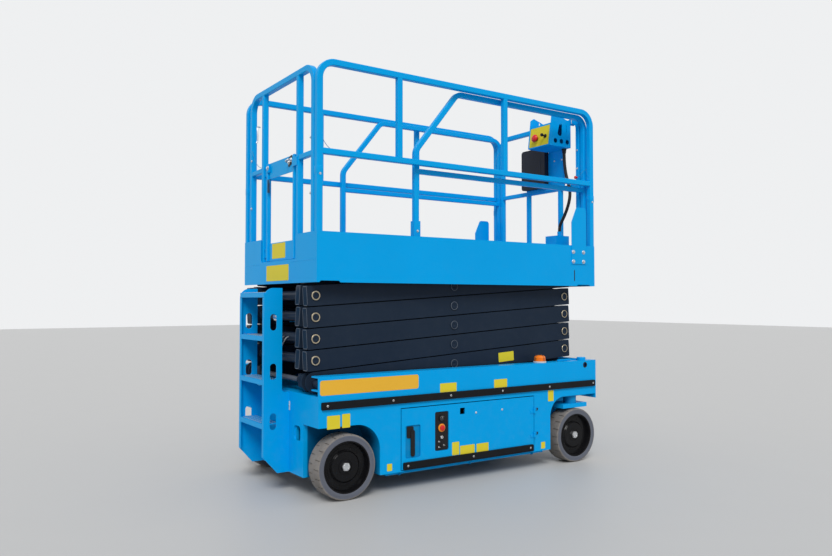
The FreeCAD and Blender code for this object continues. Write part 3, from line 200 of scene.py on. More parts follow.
blue, blueShade = (0.0, 0.352, 0.775), (0.0, 0.332, 0.735)
bluePaint = paint("bluePaint", blue, blueShade, 0.24, 0.05)
# The tub and doors take painted shade on the walls behind their outer skin
tubPaint = paint("tubPaint", blue, blueShade, 0.24, 0.05, skin=0.5885)
doorPaint = paint("doorPaint", blue, blueShade, 0.24, 0.05, skin=0.5935)
armPaint = paint("armPaint", (0.013, 0.023, 0.041), (0.017, 0.028, 0.047), 0.26, 0.06, 0.2)
blackPaint = paint("blackPaint", (0.004, 0.004, 0.005), (0.006, 0.006, 0.007), 0.14, 0.01, 0.5, 0.05, 1.25)
edgePaint = paint("edgePaint", (0.13, 0.15, 0.18), (0.05, 0.06, 0.08), 0.34, 0.2)
darkSteel = paint("darkSteel", (0.045, 0.048, 0.052), (0.07, 0.072, 0.075), 0.42, 0.35)
yellowPlate = paint("yellowPlate", (0.72, 0.60, 0.035), (0.68, 0.56, 0.035), 0.28, 0.05)
amberPlate = paint("amberPlate", (0.80, 0.45, 0.045), (0.76, 0.42, 0.04), 0.28, 0.05)
paleEnamel = paint("paleEnamel", (0.62, 0.63, 0.62), (0.55, 0.56, 0.55), 0.3, 0.2)
tyreRing = rubber("tyreRing", (0.115, 0.126, 0.158), (0.104, 0.110, 0.128), 0.5)
tyreTread = rubber("tyreTread", (0.215, 0.20, 0.185), (0.145, 0.13, 0.117), 0.7, 0.9)
stripRubber = rubber("stripRubber", (0.006, 0.007, 0.009), (0.015, 0.015, 0.016), 0.42, 0.4, 0.12)
cableRubber = rubber("cableRubber", (0.010, 0.010, 0.011), (0.016, 0.016, 0.016), 0.42, 0.4)
brightSteel = metal("brightSteel", (0.72, 0.73, 0.74), 0.24, (1.0, 14.0, 1.0), 0.3)
chromeRod = metal("chromeRod", (0.86, 0.87, 0.88), 0.07, (1.0, 14.0, 14.0))
wornBrass = metal("wornBrass", (0.58, 0.50, 0.36), 0.34, (6.0, 6.0, 6.0), 0.7)
blackPlastic = plastic("blackPlastic", (0.007, 0.007, 0.008), 0.38, gloss=0.25)
slatePlastic = plastic("slatePlastic", (0.014, 0.016, 0.024), 0.4, gloss=0.2)
batteryCase = plastic("batteryCase", (0.024, 0.024, 0.028), 0.45)
gaugeGlass = plastic("gaugeGlass", (0.018, 0.020, 0.024), 0.05, 60.0, 0.02, 0.6)
redPlastic = plastic("redPlastic", (0.66, 0.012, 0.010), 0.2, 500.0, 0.05)
orangePlastic = plastic("orangePlastic", (0.86, 0.28, 0.015), 0.3, 400.0, 0.08)
yellowPlastic = plastic("yellowPlastic", (0.80, 0.47, 0.02), 0.3, 400.0, 0.08)
lampPlastic = plastic("lampPlastic", (0.92, 0.21, 0.006), 0.12, 90.0, 0.06, 0.5)
blueWire = plastic("blueWire", (0.01, 0.20, 0.45), 0.35)
greyWire = plastic("greyWire", (0.26, 0.27, 0.29), 0.35)

# Looks of the CAD nodes: arms and wheels take theirs by name, and what isn't listed is blue
nodeLook = {
    "chassis_frame": tubPaint, "tub_deck": tubPaint, "bay_channels": tubPaint, "side_panels": tubPaint,
    "left_door": doorPaint, "right_door": doorPaint,
    "side_strips": stripRubber, "rear_axle_ends": darkSteel, "beacon": lampPlastic,
    "left_door_strip": stripRubber, "right_door_strip": stripRubber,
    "left_door_fittings": blackPlastic, "right_door_fittings": blackPlastic,
    "left_batteries": batteryCase, "right_batteries": batteryCase,
    "lift_cylinder_barrel": armPaint, "lift_cylinder_rod": chromeRod,
    "control_knobs": redPlastic, "document_box": slatePlastic, "control_cable": cableRubber,
}
for name in nodes:
    look = nodeLook.get(name, bluePaint)
    if "_arms_" in name:
        look = armPaint
    if name.endswith("_tyre"):
        look = tyreTread
    if name.endswith("_rim"):
        look = blackPaint
    for place in nodes[name].material_slots:
        place.material = look
print("materials ready")


# Camera, floor and light
viewPoint = {"place": (-2.98666, -4.42757, 1.1569), "yaw": 0.59385, "pitch": 0.03037, "lens": 32.288,
             "sensor": 36.0, "farEnd": 200.0}
yaw, pitch = viewPoint["yaw"], viewPoint["pitch"]
towards = Vector((math.sin(yaw) * math.cos(pitch), math.cos(yaw) * math.cos(pitch), math.sin(pitch)))
camera = bpy.data.objects.new("camera", bpy.data.cameras.new("camera"))
bpy.context.scene.collection.objects.link(camera)
camera.data.lens = viewPoint["lens"]
camera.data.sensor_width = viewPoint["sensor"]
camera.data.clip_end = viewPoint["farEnd"]
camera.location = viewPoint["place"]
camera.rotation_euler = towards.to_track_quat("-Z", "Y").to_euler()
bpy.context.scene.camera = camera
bpy.context.scene.view_settings.view_transform = "Standard"

studio = {"floorSize": 60.0, "floorZ": -0.001, "floorColour": (0.52, 0.52, 0.51),
          "floorShade": (0.47, 0.47, 0.46), "skyColour": (0.95, 0.96, 1.0), "sky": 0.60,
          "backdrop": (0.86, 0.87, 0.88), "sunTurn": (0.80, 0.0, -0.62), "sun": 2.0, "sunSoftness": 0.45}
bpy.ops.object.select_all(action="DESELECT")
bpy.ops.mesh.primitive_plane_add(size=studio["floorSize"], location=(0, 0, studio["floorZ"]))
floor = bpy.context.object
floor.name = "floor"
look = surfaceLook("floorPaint")
tone = look.blend(look.noise(3.0, 5.0, 0.6) * 0.25, studio["floorColour"], studio["floorShade"])
floor.data.materials.append(look.set(Base_Color=tone, Roughness=0.55))

world = bpy.data.worlds.new("studioWorld")
bpy.context.scene.world = world
world.use_nodes = True
sky = world.node_tree
rays = sky.nodes.new("ShaderNodeLightPath")
rayKinds = ("Is Camera Ray", "Is Glossy Ray", "Is Transmission Ray")
seen = [shaderValue(sky, rays.outputs[kind]) for kind in rayKinds]
anyRay = seen[0].maths("MAXIMUM", seen[1]).maths("MAXIMUM", seen[2])
soft = sky.nodes["Background"]
soft.inputs["Color"].default_value = (*studio["skyColour"], 1.0)
soft.inputs["Strength"].default_value = studio["sky"]
white = sky.nodes.new("ShaderNodeBackground")
white.inputs["Color"].default_value = (*studio["backdrop"], 1.0)
mixed = sky.nodes.new("ShaderNodeMixShader")
sky.links.new(anyRay.socket, mixed.inputs[0])
sky.links.new(soft.outputs[0], mixed.inputs[1])
sky.links.new(white.outputs[0], mixed.inputs[2])
sky.links.new(mixed.outputs[0], sky.nodes["World Output"].inputs["Surface"])

sun = bpy.data.objects.new("softSun", bpy.data.lights.new("softSun", "SUN"))
sun.data.energy = studio["sun"]
sun.data.angle = studio["sunSoftness"]
sun.rotation_euler = studio["sunTurn"]
bpy.context.scene.collection.objects.link(sun)
print("camera, floor and light ready")


# Control cable, from the housing's floor to the gland of the box below it
cable = {"radius": 0.012, "length": 0.662,
         "route": [(1.164, -0.322, 2.3275), (1.164, -0.322, 2.240), (1.166, -0.332, 2.150),
                   (1.171, -0.352, 2.068), (1.171, -0.376, 2.000), (1.160, -0.382, 1.930),
                   (1.146, -0.370, 1.860), (1.128, -0.352, 1.795), (1.116, -0.328, 1.745),
                   (1.114, -0.318, 1.715), (1.114, -0.318, 1.685)]}


def newCord(name, points, radius, look):
    line = bpy.data.curves.new(name, "CURVE")
    line.dimensions = "3D"
    spline = line.splines.new("NURBS")
    spline.points.add(len(points) - 1)
    for point, place in zip(spline.points, points):
        point.co = (*place, 1.0)
    spline.order_u = 3
    spline.use_endpoint_u = True
    spline.resolution_u = 8
    line.bevel_depth = radius
    line.bevel_resolution = 4
    line.use_fill_caps = True
    line.materials.append(look)
    cord = bpy.data.objects.new(name, line)
    bpy.context.scene.collection.objects.link(cord)
    return cord


controlCable = newCord("controlCable", cable["route"], cable["radius"], cableRubber)
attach(controlCable, "extension")
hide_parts("control_cable")

# Thin wires: lock pin leads of the rails and a loop of signal wire on a scissor tube, each with its name,
# body, radius, length and route
wires = [
    ("rearPinLead", "platform", 0.0016, 0.2154,
     [(-1.058, 0.444, 2.186), (-1.064, 0.424, 2.172), (-1.066, 0.390, 2.128), (-1.066, 0.345, 2.080),
      (-1.062, 0.305, 2.052), (-1.053, 0.286, 2.047)]),
    ("sidePinLeadA", "platform", 0.0016, 0.1933,
     [(-1.024, -0.520, 2.118), (-1.006, -0.514, 2.110), (-0.975, -0.512, 2.066), (-0.930, -0.512, 2.042),
      (-0.886, -0.514, 2.040), (-0.860, -0.521, 2.043)]),
    ("sidePinLeadB", "platform", 0.0016, 0.1438,
     [(0.353, -0.522, 2.172), (0.338, -0.514, 2.166), (0.322, -0.512, 2.128), (0.314, -0.512, 2.084),
      (0.312, -0.514, 2.060), (0.314, -0.521, 2.043)]),
    ("sidePinLeadC", "platform", 0.0016, 0.1586,
     [(1.194, -0.522, 2.140), (1.172, -0.514, 2.134), (1.136, -0.512, 2.092), (1.104, -0.512, 2.062),
      (1.086, -0.514, 2.048), (1.074, -0.521, 2.043)]),
    ("signalWireLoop", "inner_2", 0.0040, 0.1686,
     [(-1.056, -0.098, 0.934), (-1.072, -0.098, 0.932), (-1.088, -0.102, 0.904), (-1.090, -0.128, 0.870),
      (-1.088, -0.158, 0.900), (-1.072, -0.162, 0.932), (-1.056, -0.162, 0.934)]),
]
for name, body, radius, length, points in wires:
    thin = radius < 0.002
    line = newCord(name, points, radius, blueWire if thin else greyWire)
    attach(line, body)
print("cable and wires ready")


# Making pieces. Small fittings are made once at the origin, facing up, and copied to where they sit
facings = {"up": (0, 0, 0), "down": (math.pi, 0, 0), "right": (math.pi / 2, 0, 0),
           "left": (math.pi / 2, 0, math.pi), "rear": (math.pi / 2, 0, -math.pi / 2),
           "front": (math.pi / 2, 0, math.pi / 2)}
sides = (("left", 1), ("right", -1))


def pickOnly(piece):
    bpy.ops.object.select_all(action="DESELECT")
    piece.select_set(True)
    bpy.context.view_layer.objects.active = piece


def settled(piece):
    pickOnly(piece)
    bpy.ops.object.transform_apply(location=True, rotation=True, scale=True)
    return piece


def newBlock(size, at):
    bpy.ops.object.select_all(action="DESELECT")
    bpy.ops.mesh.primitive_cube_add(size=1, location=at, scale=size)
    return settled(bpy.context.object)


def newRound(radius, length, at, facing="up", sides=20):
    bpy.ops.object.select_all(action="DESELECT")
    bpy.ops.mesh.primitive_cylinder_add(radius=radius, depth=length, vertices=sides, location=at,
                                        rotation=facings[facing])
    return settled(bpy.context.object)


def newOutline(points):
    bpy.ops.object.select_all(action="DESELECT")
    bpy.ops.mesh.primitive_circle_add(vertices=len(points), fill_type="NOTHING")
    outline = bpy.context.object
    for vertex, place in zip(outline.data.vertices, points):
        vertex.co = place
    return outline


def editing(piece, kind, wanted):
    pickOnly(piece)
    bpy.ops.object.mode_set(mode="EDIT")
    bpy.ops.mesh.select_mode(type=kind)
    bpy.ops.mesh.select_all(action="DESELECT")
    bpy.ops.object.mode_set(mode="OBJECT")
    for element in piece.data.polygons if kind == "FACE" else piece.data.edges:
        element.select = wanted(element)
    bpy.ops.object.mode_set(mode="EDIT")


def closed(piece):
    bpy.ops.mesh.select_all(action="SELECT")
    bpy.ops.mesh.remove_doubles(threshold=0.00001)
    bpy.ops.mesh.delete_loose()
    bpy.ops.mesh.select_all(action="SELECT")
    bpy.ops.mesh.normals_make_consistent(inside=False)
    bpy.ops.object.mode_set(mode="OBJECT")
    return piece


# A turned shape: (radius, height) pairs spun about the vertical; ring keeps the outline's closing edge
def newTurned(profile, steps=24, ring=False):
    piece = newOutline([(radius, 0, height) for radius, height in profile])
    last = {0, len(profile) - 1}
    editing(piece, "EDGE", lambda edge: not ring and set(edge.vertices) == last)
    bpy.ops.mesh.delete(type="EDGE")
    bpy.ops.mesh.select_all(action="SELECT")
    bpy.ops.mesh.spin(steps=steps, angle=2 * math.pi, center=(0, 0, 0), axis=(0, 0, 1))
    return closed(piece)


# A flat sheet with rounded corners, its face up, and a shallow frame pressed round its edge
def newSheet(width, height, corner, thickness, border=0.0, press=0.0):
    bpy.ops.object.select_all(action="DESELECT")
    bpy.ops.mesh.primitive_plane_add(size=1)
    piece = bpy.context.object
    piece.scale = (width, height, 1)
    settled(piece)
    bpy.ops.object.mode_set(mode="EDIT")
    bpy.ops.mesh.select_all(action="SELECT")
    if corner > 0:
        bpy.ops.mesh.bevel(offset=corner, segments=4, affect="VERTICES")
    bpy.ops.mesh.extrude_region_move(TRANSFORM_OT_translate={"value": (0, 0, thickness)})
    if border > 0:
        bpy.ops.mesh.inset(thickness=border, depth=-press)
        bpy.ops.mesh.inset(thickness=press, depth=0)
    return closed(piece)


# A solid with the given outline, (x, y) points in its own plane, from height low to high
def newPrism(points, low, high):
    piece = newOutline([(x, y, low) for x, y in points])
    editing(piece, "EDGE", lambda edge: True)
    bpy.ops.mesh.edge_face_add()
    bpy.ops.mesh.extrude_region_move(TRANSFORM_OT_translate={"value": (0, 0, high - low)})
    return closed(piece)


# A bent rod: one ring swept along a route of points by a curve, then made a mesh
def newRod(points, radius):
    rod = newCord("rod", points, radius, brightSteel)
    rod.data.bevel_resolution = 3
    rod.data.resolution_u = 5
    pickOnly(rod)
    bpy.ops.object.convert(target="MESH")
    return bpy.context.object


def modified(piece, kind, **settings):
    pickOnly(piece)
    step = piece.modifiers.new(kind.lower(), kind)
    for key, value in settings.items():
        setattr(step, key, value)
    bpy.ops.object.modifier_apply(modifier=step.name)
    return piece


def cutBy(piece, cutter, operation="DIFFERENCE"):
    modified(piece, "BOOLEAN", operation=operation, solver="EXACT", object=cutter)
    dropped(cutter)


def edged(piece, width, segments=2):
    return modified(piece, "BEVEL", width=width, segments=segments, limit_method="ANGLE",
                    angle_limit=math.radians(35))


def repeated(piece, count, step):
    return modified(piece, "ARRAY", count=count, use_relative_offset=False, use_constant_offset=True,
                    constant_offset_displace=step)


def dressed(piece, material):
    piece.data.materials.clear()
    piece.data.materials.append(material)
    return piece


# A copy with its own mesh, rolled about its own upright, faced, tilted about Y and set in place
def copied(piece, at=(0, 0, 0), facing="up", roll=0.0, tilt=0.0):
    twin = piece.copy()
    twin.data = piece.data.copy()
    bpy.context.scene.collection.objects.link(twin)
    twin.matrix_world = (Matrix.Translation(at) @ Matrix.Rotation(tilt, 4, "Y")
                         @ Euler(facings[facing]).to_matrix().to_4x4() @ Matrix.Rotation(roll, 4, "Z"))
    return settled(twin)


def joined(pieces):
    bpy.ops.object.select_all(action="DESELECT")
    for piece in pieces:
        piece.select_set(True)
    bpy.context.view_layer.objects.active = pieces[0]
    bpy.ops.object.join()
    return pieces[0]


# A turned piece in one look
def turned(look, steps, *profile):
    return dressed(newTurned(profile, steps), look)


# A block with its edges broken, in one look
def blocked(look, size, at=(0, 0, 0), edge=0.003, segments=2):
    return dressed(edged(newBlock(size, at), edge, segments), look)


def scattered(piece, places, facing="up"):
    return joined([copied(piece, at, facing) for at in places])


def finished(piece, name, body, smooth=40):
    piece.name = name
    piece.data.name = name
    pickOnly(piece)
    bpy.ops.object.shade_smooth_by_angle(angle=math.radians(smooth))
    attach(piece, body)
    return piece


# A finished copy of a small fitting, set in place
def placed(piece, at, facing, name, body, slotName, smooth=40, **turn):
    return finished(copied(piece, at, facing, **turn), name, body, smooth)


def dropped(*pieces):
    for piece in pieces:
        bpy.data.objects.remove(piece)


# Common small fittings
fastener = {"screw": 0.0075, "bolt": 0.010, "boltHeight": 0.007, "washer": 0.0145, "washerHeight": 0.002,
            "sunk": 0.0004}
r, foot = fastener["screw"], -fastener["sunk"]
screwHead = turned(brightSteel, 14, (0, 0.0016), (0.0030, 0.0016), (0.0030, 0.0036), (0.0052, 0.0033),
                   (r, 0.0016), (r, foot))
r, top = fastener["washer"], fastener["washerHeight"]
washer = newTurned([(0, top), (r - 0.001, top), (r, top - 0.001), (r, foot)], 18)
height = fastener["boltHeight"]
hexagon = edged(newRound(fastener["bolt"], height, (0, 0, top + height / 2), sides=6), 0.0012)
steelBolt = dressed(joined([hexagon, washer]), brightSteel)
print("fittings ready")


# Tyres: plain solid rubber, a groove round each side, and short cuts across both shoulders of the tread
tyre = {"radius": 0.1905, "seat": 0.152, "half": 0.0635, "shoulder": 0.009, "groove": (0.168, 0.1722),
        "grooveDepth": 0.0012, "cuts": 22, "cutWidth": 0.0052, "cutDepth": 0.0055, "cutReach": 0.050,
        "y": 0.5315}


def makeTyre():
    r, half, s, reach = tyre["radius"], tyre["half"], tyre["shoulder"], tyre["cutReach"]
    floorRadius = r - tyre["cutDepth"]
    lip = half - s + math.sqrt(s * s - (s - tyre["cutDepth"]) ** 2)
    seat, (inner, outer), bottom = tyre["seat"], tyre["groove"], half - tyre["grooveDepth"]
    side = [(seat, half - 0.001), (seat + 0.004, half), (inner, half), (inner + 0.001, bottom),
            (outer - 0.001, bottom), (outer, half), (r - s, half), (floorRadius, lip),
            (r - s * 0.25, half - s * 0.34), (r, half - s), (r, half - reach)]
    profile = side + [(radius, -height) for radius, height in reversed(side)]
    piece = newOutline([(radius, 0, height) for radius, height in profile])
    narrow = tyre["cutWidth"] / r
    pitch = 2 * math.pi / tyre["cuts"]
    editing(piece, "EDGE", lambda edge: True)
    for angle in (narrow, pitch / 2 - narrow) * 2:
        bpy.ops.mesh.spin(steps=1, angle=angle, center=(0, 0, 0), axis=(0, 0, 1))
    bpy.ops.object.mode_set(mode="OBJECT")

    def inCut(face):
        turn = abs(math.atan2(face.center.y, face.center.x)) - (pitch / 2 if face.center.z < 0 else 0)
        return 0 < turn < narrow and abs(face.center.z) > half - reach and face.center.xy.length > floorRadius

    editing(piece, "FACE", inCut)
    bpy.ops.mesh.extrude_region_move(TRANSFORM_OT_translate={"value": (0, 0, 0)})
    bpy.ops.object.mode_set(mode="OBJECT")
    for vertex in piece.data.vertices:
        if vertex.select:
            vertex.co.xy = vertex.co.xy.normalized() * floorRadius
            vertex.co.z = math.copysign(min(abs(vertex.co.z), lip), vertex.co.z)
    editing(piece, "FACE", lambda face: True)
    bpy.ops.mesh.spin(steps=tyre["cuts"] - 1, angle=2 * math.pi - pitch, dupli=True, center=(0, 0, 0),
                      axis=(0, 0, 1))
    closed(piece)
    piece.data.materials.append(tyreTread)
    piece.data.materials.append(tyreRing)
    for face in piece.data.polygons:
        flat = abs(face.center.z) > half - 0.002 and face.center.xy.length < r - s
        face.material_index = 1 if flat else 0
    return piece


# Wheels: (name, end, side's word, side, x)
wheels = [(f"{end}_{word}", end, word, side, x) for word, side in sides
          for end, x in (("front", 0.9925), ("rear", -0.8785))]
template = makeTyre()
for name, end, word, side, x in wheels:
    at = (x, side * tyre["y"], tyre["radius"])
    piece = placed(template, at, word, name + "_tyreRubber", name + "_wheel", "grey_tyre", smooth=30)
    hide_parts(name + "_tyre")
dropped(template)
print("tyres ready")

# Wheel fittings: webs cast on the dish, a raised boss round the hub and the castle nut with its split pin
wheelTrim = {"dishY": 0.561, "nutY": 0.5713, "webRadius": 0.112, "webAngle": 0.62, "webs": 5, "ribGap": 0.06,
             "nutRadius": 0.0262, "nutFace": 0.0128, "nutLugs": 6, "nutTurn": 0.4}
acrossWeb = ((-0.0035, -0.0005), (-0.0022, 0.0018), (0.0022, 0.0018), (0.0035, -0.0005))
arc = newOutline([(wheelTrim["webRadius"] + a, 0, b) for a, b in acrossWeb])
editing(arc, "EDGE", lambda edge: True)
bpy.ops.mesh.spin(steps=8, angle=wheelTrim["webAngle"], center=(0, 0, 0), axis=(0, 0, 1))
bpy.ops.mesh.select_all(action="SELECT")
bpy.ops.mesh.fill_holes(sides=8)
closed(arc)
rib = edged(newBlock((0.021, 0.004, 0.0023), (0.0995, 0, 0.0006)), 0.0008, 1)
turns = [2 * math.pi * k / wheelTrim["webs"] for k in range(wheelTrim["webs"])]
ribTurns = (-wheelTrim["ribGap"], wheelTrim["webAngle"] + wheelTrim["ribGap"])
webs = [copied(arc, roll=turn) for turn in turns]
webs += [copied(rib, roll=turn + away) for turn in turns for away in ribTurns]
bead = newTurned([(0.1235, -0.0006), (0.1245, 0.0016), (0.1275, 0.0016), (0.1285, -0.0006)], 56, ring=True)
boss = newTurned([(0.040, 0.0096), (0.041, 0.0122), (0.045, 0.0122), (0.0465, 0.0096)], 36, ring=True)
seam = newTurned([(0.0925, 0.0096), (0.0925, 0.0112), (0.0950, 0.0112), (0.0956, 0.0096)], 48, ring=True)
trim = dressed(joined(webs + [bead, boss, seam]), blackPaint)
face = wheelTrim["nutFace"]
nut = edged(newRound(wheelTrim["nutRadius"], face, (0, 0, face / 2), sides=6), 0.0016)
collar = newTurned([(0, face), (0.0205, face), (0.0205, 0.0148), (0.0185, 0.0148), (0.012, 0.0148),
                    (0.0105, 0.0165), (0, 0.0165)], 24)
lug = edged(newBlock((0.0075, 0.0095, 0.006), (0.0168, 0, 0.0155)), 0.0008, 1)
lugs = [copied(lug, roll=2 * math.pi * k / wheelTrim["nutLugs"]) for k in range(wheelTrim["nutLugs"])]
splitPin = newRound(0.0016, 0.044, (0, 0, 0.0158), "right", 8)
castle = dressed(joined([nut, collar, *lugs, splitPin]), brightSteel)
for name, end, word, side, x in wheels:
    at = (x, side * wheelTrim["dishY"], tyre["radius"])
    placed(trim, at, word, name + "_tyreRimTrim", name + "_wheel", "black_paint")
    at = (x, side * wheelTrim["nutY"], tyre["radius"])
    hubBody = word + "_steering" if end == "front" else "chassis"
    placed(castle, at, word, name + "_tyreCastleNut", hubBody, "bright_steel", roll=wheelTrim["nutTurn"])
dropped(arc, rib, lug, trim, castle)
print("wheel fittings ready")


# Screws of the rubbing strips: (x, z) along each strip, both sides of the machine
stripScrews = {"upper": [(x, 0.555) for x in (-1.012, -0.570, -0.137, 0.293, 0.723, 1.160)],
               "door": [(x, 0.150) for x in (-0.463, 0.045, 0.541)], "sunk": 0.0022}
for word, side in sides:
    for key, strip, name, body in (("upper", "side_strips", "StripScrews", "chassis"),
                                   ("door", word + "_door_strip", "DoorStripScrews", word + "_door_body")):
        low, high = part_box(strip)
        face = (high.y if side > 0 else -low.y) - stripScrews["sunk"]
        places = [(x, side * face, z) for x, z in stripScrews[key]]
        finished(scattered(screwHead, places, word), word + name, body)

# Blank plates: (name, body, facing, material, place, width, height, corner)
plateStock = (0.0008, 0.0022, 0.0003)  # thickness, border, press
restAngle = math.radians(3.58)  # lean of the arms in the lowered machine
skin = -0.595
plates = [
    ("doorPlateA", "right_door_body", "right", yellowPlate, (-0.094, skin, 0.214), 0.056, 0.082, 0.004),
    ("doorPlateB", "right_door_body", "right", yellowPlate, (0.001, skin, 0.195), 0.118, 0.062, 0.004),
    ("doorPlateC", "right_door_body", "right", yellowPlate, (0.127, skin, 0.194), 0.100, 0.062, 0.004),
    ("sidePlateA", "chassis", "right", yellowPlate, (0.667, skin, 0.153), 0.037, 0.045, 0.003),
    ("sidePlateB", "chassis", "right", yellowPlate, (0.743, skin, 0.490), 0.053, 0.076, 0.003),
    ("sidePlateC", "chassis", "right", yellowPlate, (-0.970, skin, 0.459), 0.084, 0.077, 0.004),
    ("sidePlateD", "chassis", "right", yellowPlate, (-0.888, skin, 0.461), 0.053, 0.080, 0.004),
    ("sidePlateE", "chassis", "right", yellowPlate, (-0.591, skin, 0.155), 0.035, 0.043, 0.003),
    ("beamPlateA", "chassis", "right", yellowPlate, (-0.151, skin, 0.6060), 0.130, 0.056, 0.004),
    ("beamPlateB", "chassis", "right", yellowPlate, (0.283, skin, 0.6055), 0.113, 0.055, 0.004),
    ("amberBeamPlate", "chassis", "right", amberPlate, (-0.7185, skin, 0.658), 0.677, 0.086, 0.014),
    ("gateToePlate", "gate", "rear", yellowPlate, (-1.0395, 0.034, 1.478), 0.205, 0.098, 0.006),
    ("rearSkirtPlate", "platform", "rear", yellowPlate, (-1.063, 0.0, 1.333), 0.345, 0.100, 0.006),
    ("armPlate", "outer_1", "right", yellowPlate, (0.4405, -0.470, 0.769), 0.137, 0.064, 0.004),
]
for name, body, facing, look, at, width, height, corner in plates:
    sheet = dressed(newSheet(width, height, corner, *plateStock), look)
    slotName = "amber_plate" if look is amberPlate else "yellow_plate"
    placed(sheet, at, facing, name, body, slotName, tilt=-restAngle if name == "armPlate" else 0.0)
    dropped(sheet)
print("screws and plates ready")


# Ground controls in the right door: gauge, stop button on its ring, key switch and small switches
panel = {"face": -0.590, "gauge": (-0.2015, 0.416), "stop": (-0.2015, 0.355), "key": (-0.2015, 0.296),
         "switches": ((-0.2230, 0.2700), (-0.1850, 0.2450), (-0.2230, 0.2360))}
bezel = turned(blackPlastic, 28, (0.0165, 0.0062), (0.0172, 0.0078), (0.0195, 0.0078), (0.0205, 0.0060),
               (0.0205, 0.0))
glass = turned(gaugeGlass, 28, (0, 0.0066), (0.008, 0.0065), (0.0172, 0.0058))
needle = blocked(paleEnamel, (0.0012, 0.012, 0.0008), (0.002, 0.004, 0.0070), 0.0003, 1)
mark = newBlock((0.0008, 0.0026, 0.0006), (0, 0.0128, 0.0068))
marks = [copied(mark, roll=math.radians(angle)) for angle in (-60, -30, 0, 30, 60)]
gauge = joined([bezel, glass, needle, dressed(joined(marks), paleEnamel)])
ring = turned(orangePlastic, 28, (0.015, 0.0052), (0.016, 0.0064), (0.0240, 0.0064), (0.0255, 0.0052),
              (0.0255, 0.0))
head = turned(redPlastic, 28, (0, 0.0158), (0.009, 0.0155), (0.0155, 0.0143), (0.0178, 0.0125),
              (0.0172, 0.0108), (0.011, 0.0098), (0.0105, 0.0050))
stopButton = joined([ring, head])
barrel = turned(brightSteel, 22, (0, 0.0066), (0.0045, 0.0066), (0.0052, 0.0084), (0.0088, 0.0084),
                (0.0105, 0.0066), (0.0112, 0.0))
blade = blocked(brightSteel, (0.0018, 0.012, 0.008), (0, 0, 0.0112), 0.0005, 1)
keySwitch = joined([barrel, blade])
base = newTurned([(0, 0.004), (0.0048, 0.004), (0.0056, 0.003), (0.0056, 0.0)], 8)
stick = newTurned([(0, 0.0150), (0.0016, 0.0146), (0.0022, 0.0130), (0.0013, 0.0040)], 8)
toggle = dressed(joined([base, stick]), brightSteel)
for piece, name, slotName, key in ((gauge, "groundGauge", "black_plastic", "gauge"),
                                   (stopButton, "groundStopButton", "red_plastic", "stop"),
                                   (keySwitch, "groundKeySwitch", "bright_steel", "key")):
    x, z = panel[key]
    placed(piece, (x, panel["face"], z), "right", name, "right_door_body", slotName)
places = [(x, panel["face"], z) for x, z in panel["switches"]]
finished(scattered(toggle, places, "right"), "groundSwitches", "right_door_body")
dropped(mark, gauge, stopButton, keySwitch, toggle)

# Door furniture: lock barrel of the latch, black sheets painted as the shade in the hinges' slots, leaves of
# the hinges, two screws
latch = {"x": -0.438, "z": 0.352, "face": 0.5792}
lock = turned(brightSteel, 20, (0, 0.0012), (0.0022, 0.0012), (0.0026, 0.0028), (0.0070, 0.0028),
              (0.0082, 0.0016), (0.0082, -0.0005))
hinge = {"z": (0.2435, 0.4085), "slotX": 0.6035, "slotFace": 0.5990, "leafX": 0.5990, "leafFace": 0.5995}
# Painted shade: a thin black sheet in each hinge slot stands for the shade inside it
slotShadeSheet = dressed(newSheet(0.025, 0.0160, 0.002, 0.0006), blackPlastic)
leafSheet = dressed(edged(newSheet(0.012, 0.008, 0.002, 0.0012), 0.0004, 1), bluePaint)
slotShades, leaves = [], []
for word, side in sides:
    placed(lock, (latch["x"], side * latch["face"], latch["z"]), word, word + "DoorLock", word + "_door_body",
           "bright_steel")
    slotShades += [copied(slotShadeSheet, (hinge["slotX"], side * hinge["slotFace"], z), word) for z in hinge["z"]]
    leaves += [copied(leafSheet, (hinge["leafX"], side * hinge["leafFace"], z), word) for z in hinge["z"]]
places = [(0.073, -0.5948, 0.428), (0.295, -0.5948, 0.430)]
finished(scattered(screwHead, places, "right"), "rightDoorScrews", "right_door_body")
finished(joined(slotShades), "hingeSlots", "chassis")
finished(joined(leaves), "hingeLeaves", "chassis")
dropped(lock, slotShadeSheet, leafSheet)
print("door details ready")


# Arms: a worn ring round every pin, and plates that close the tube ends, with a painted highlight round their
# rims
arms = {"frontX": 1.001, "rearX": -1.026, "firstZ": 0.679, "pitch": 0.127, "levels": 5, "end": 0.052,
        "shortEnd": 0.018, "ringY": 0.475, "innerY": 0.340, "outerY": 0.440, "tube": (0.0545, 0.1145)}
armLength = math.hypot(arms["frontX"] - arms["rearX"], arms["pitch"])


def newPinRing(inner, look):
    core = turned(armPaint, 26, (0, 0.0006), (0.008, 0.0006), (0.009, 0.0014), (inner - 0.002, 0.0014),
                  (inner, 0.0))
    rim = turned(look, 26, (inner, 0.0), (inner + 0.0008, 0.0030), (0.0268, 0.0030), (0.0280, 0.0018),
                 (0.0280, -0.0006))
    return joined([core, rim])


# Plates on tube ends: each end has its facing, the pin it is measured from and its reach along the tube
def closedEnds(ends, y, tilt):
    along = Vector((math.cos(tilt), 0, -math.sin(tilt)))
    return joined([copied(endPlate, pin + along * reach + Vector((0, side * y, 0)), facing, tilt=tilt)
                   for facing, pin, reach in ends for side in (-1, 1)])


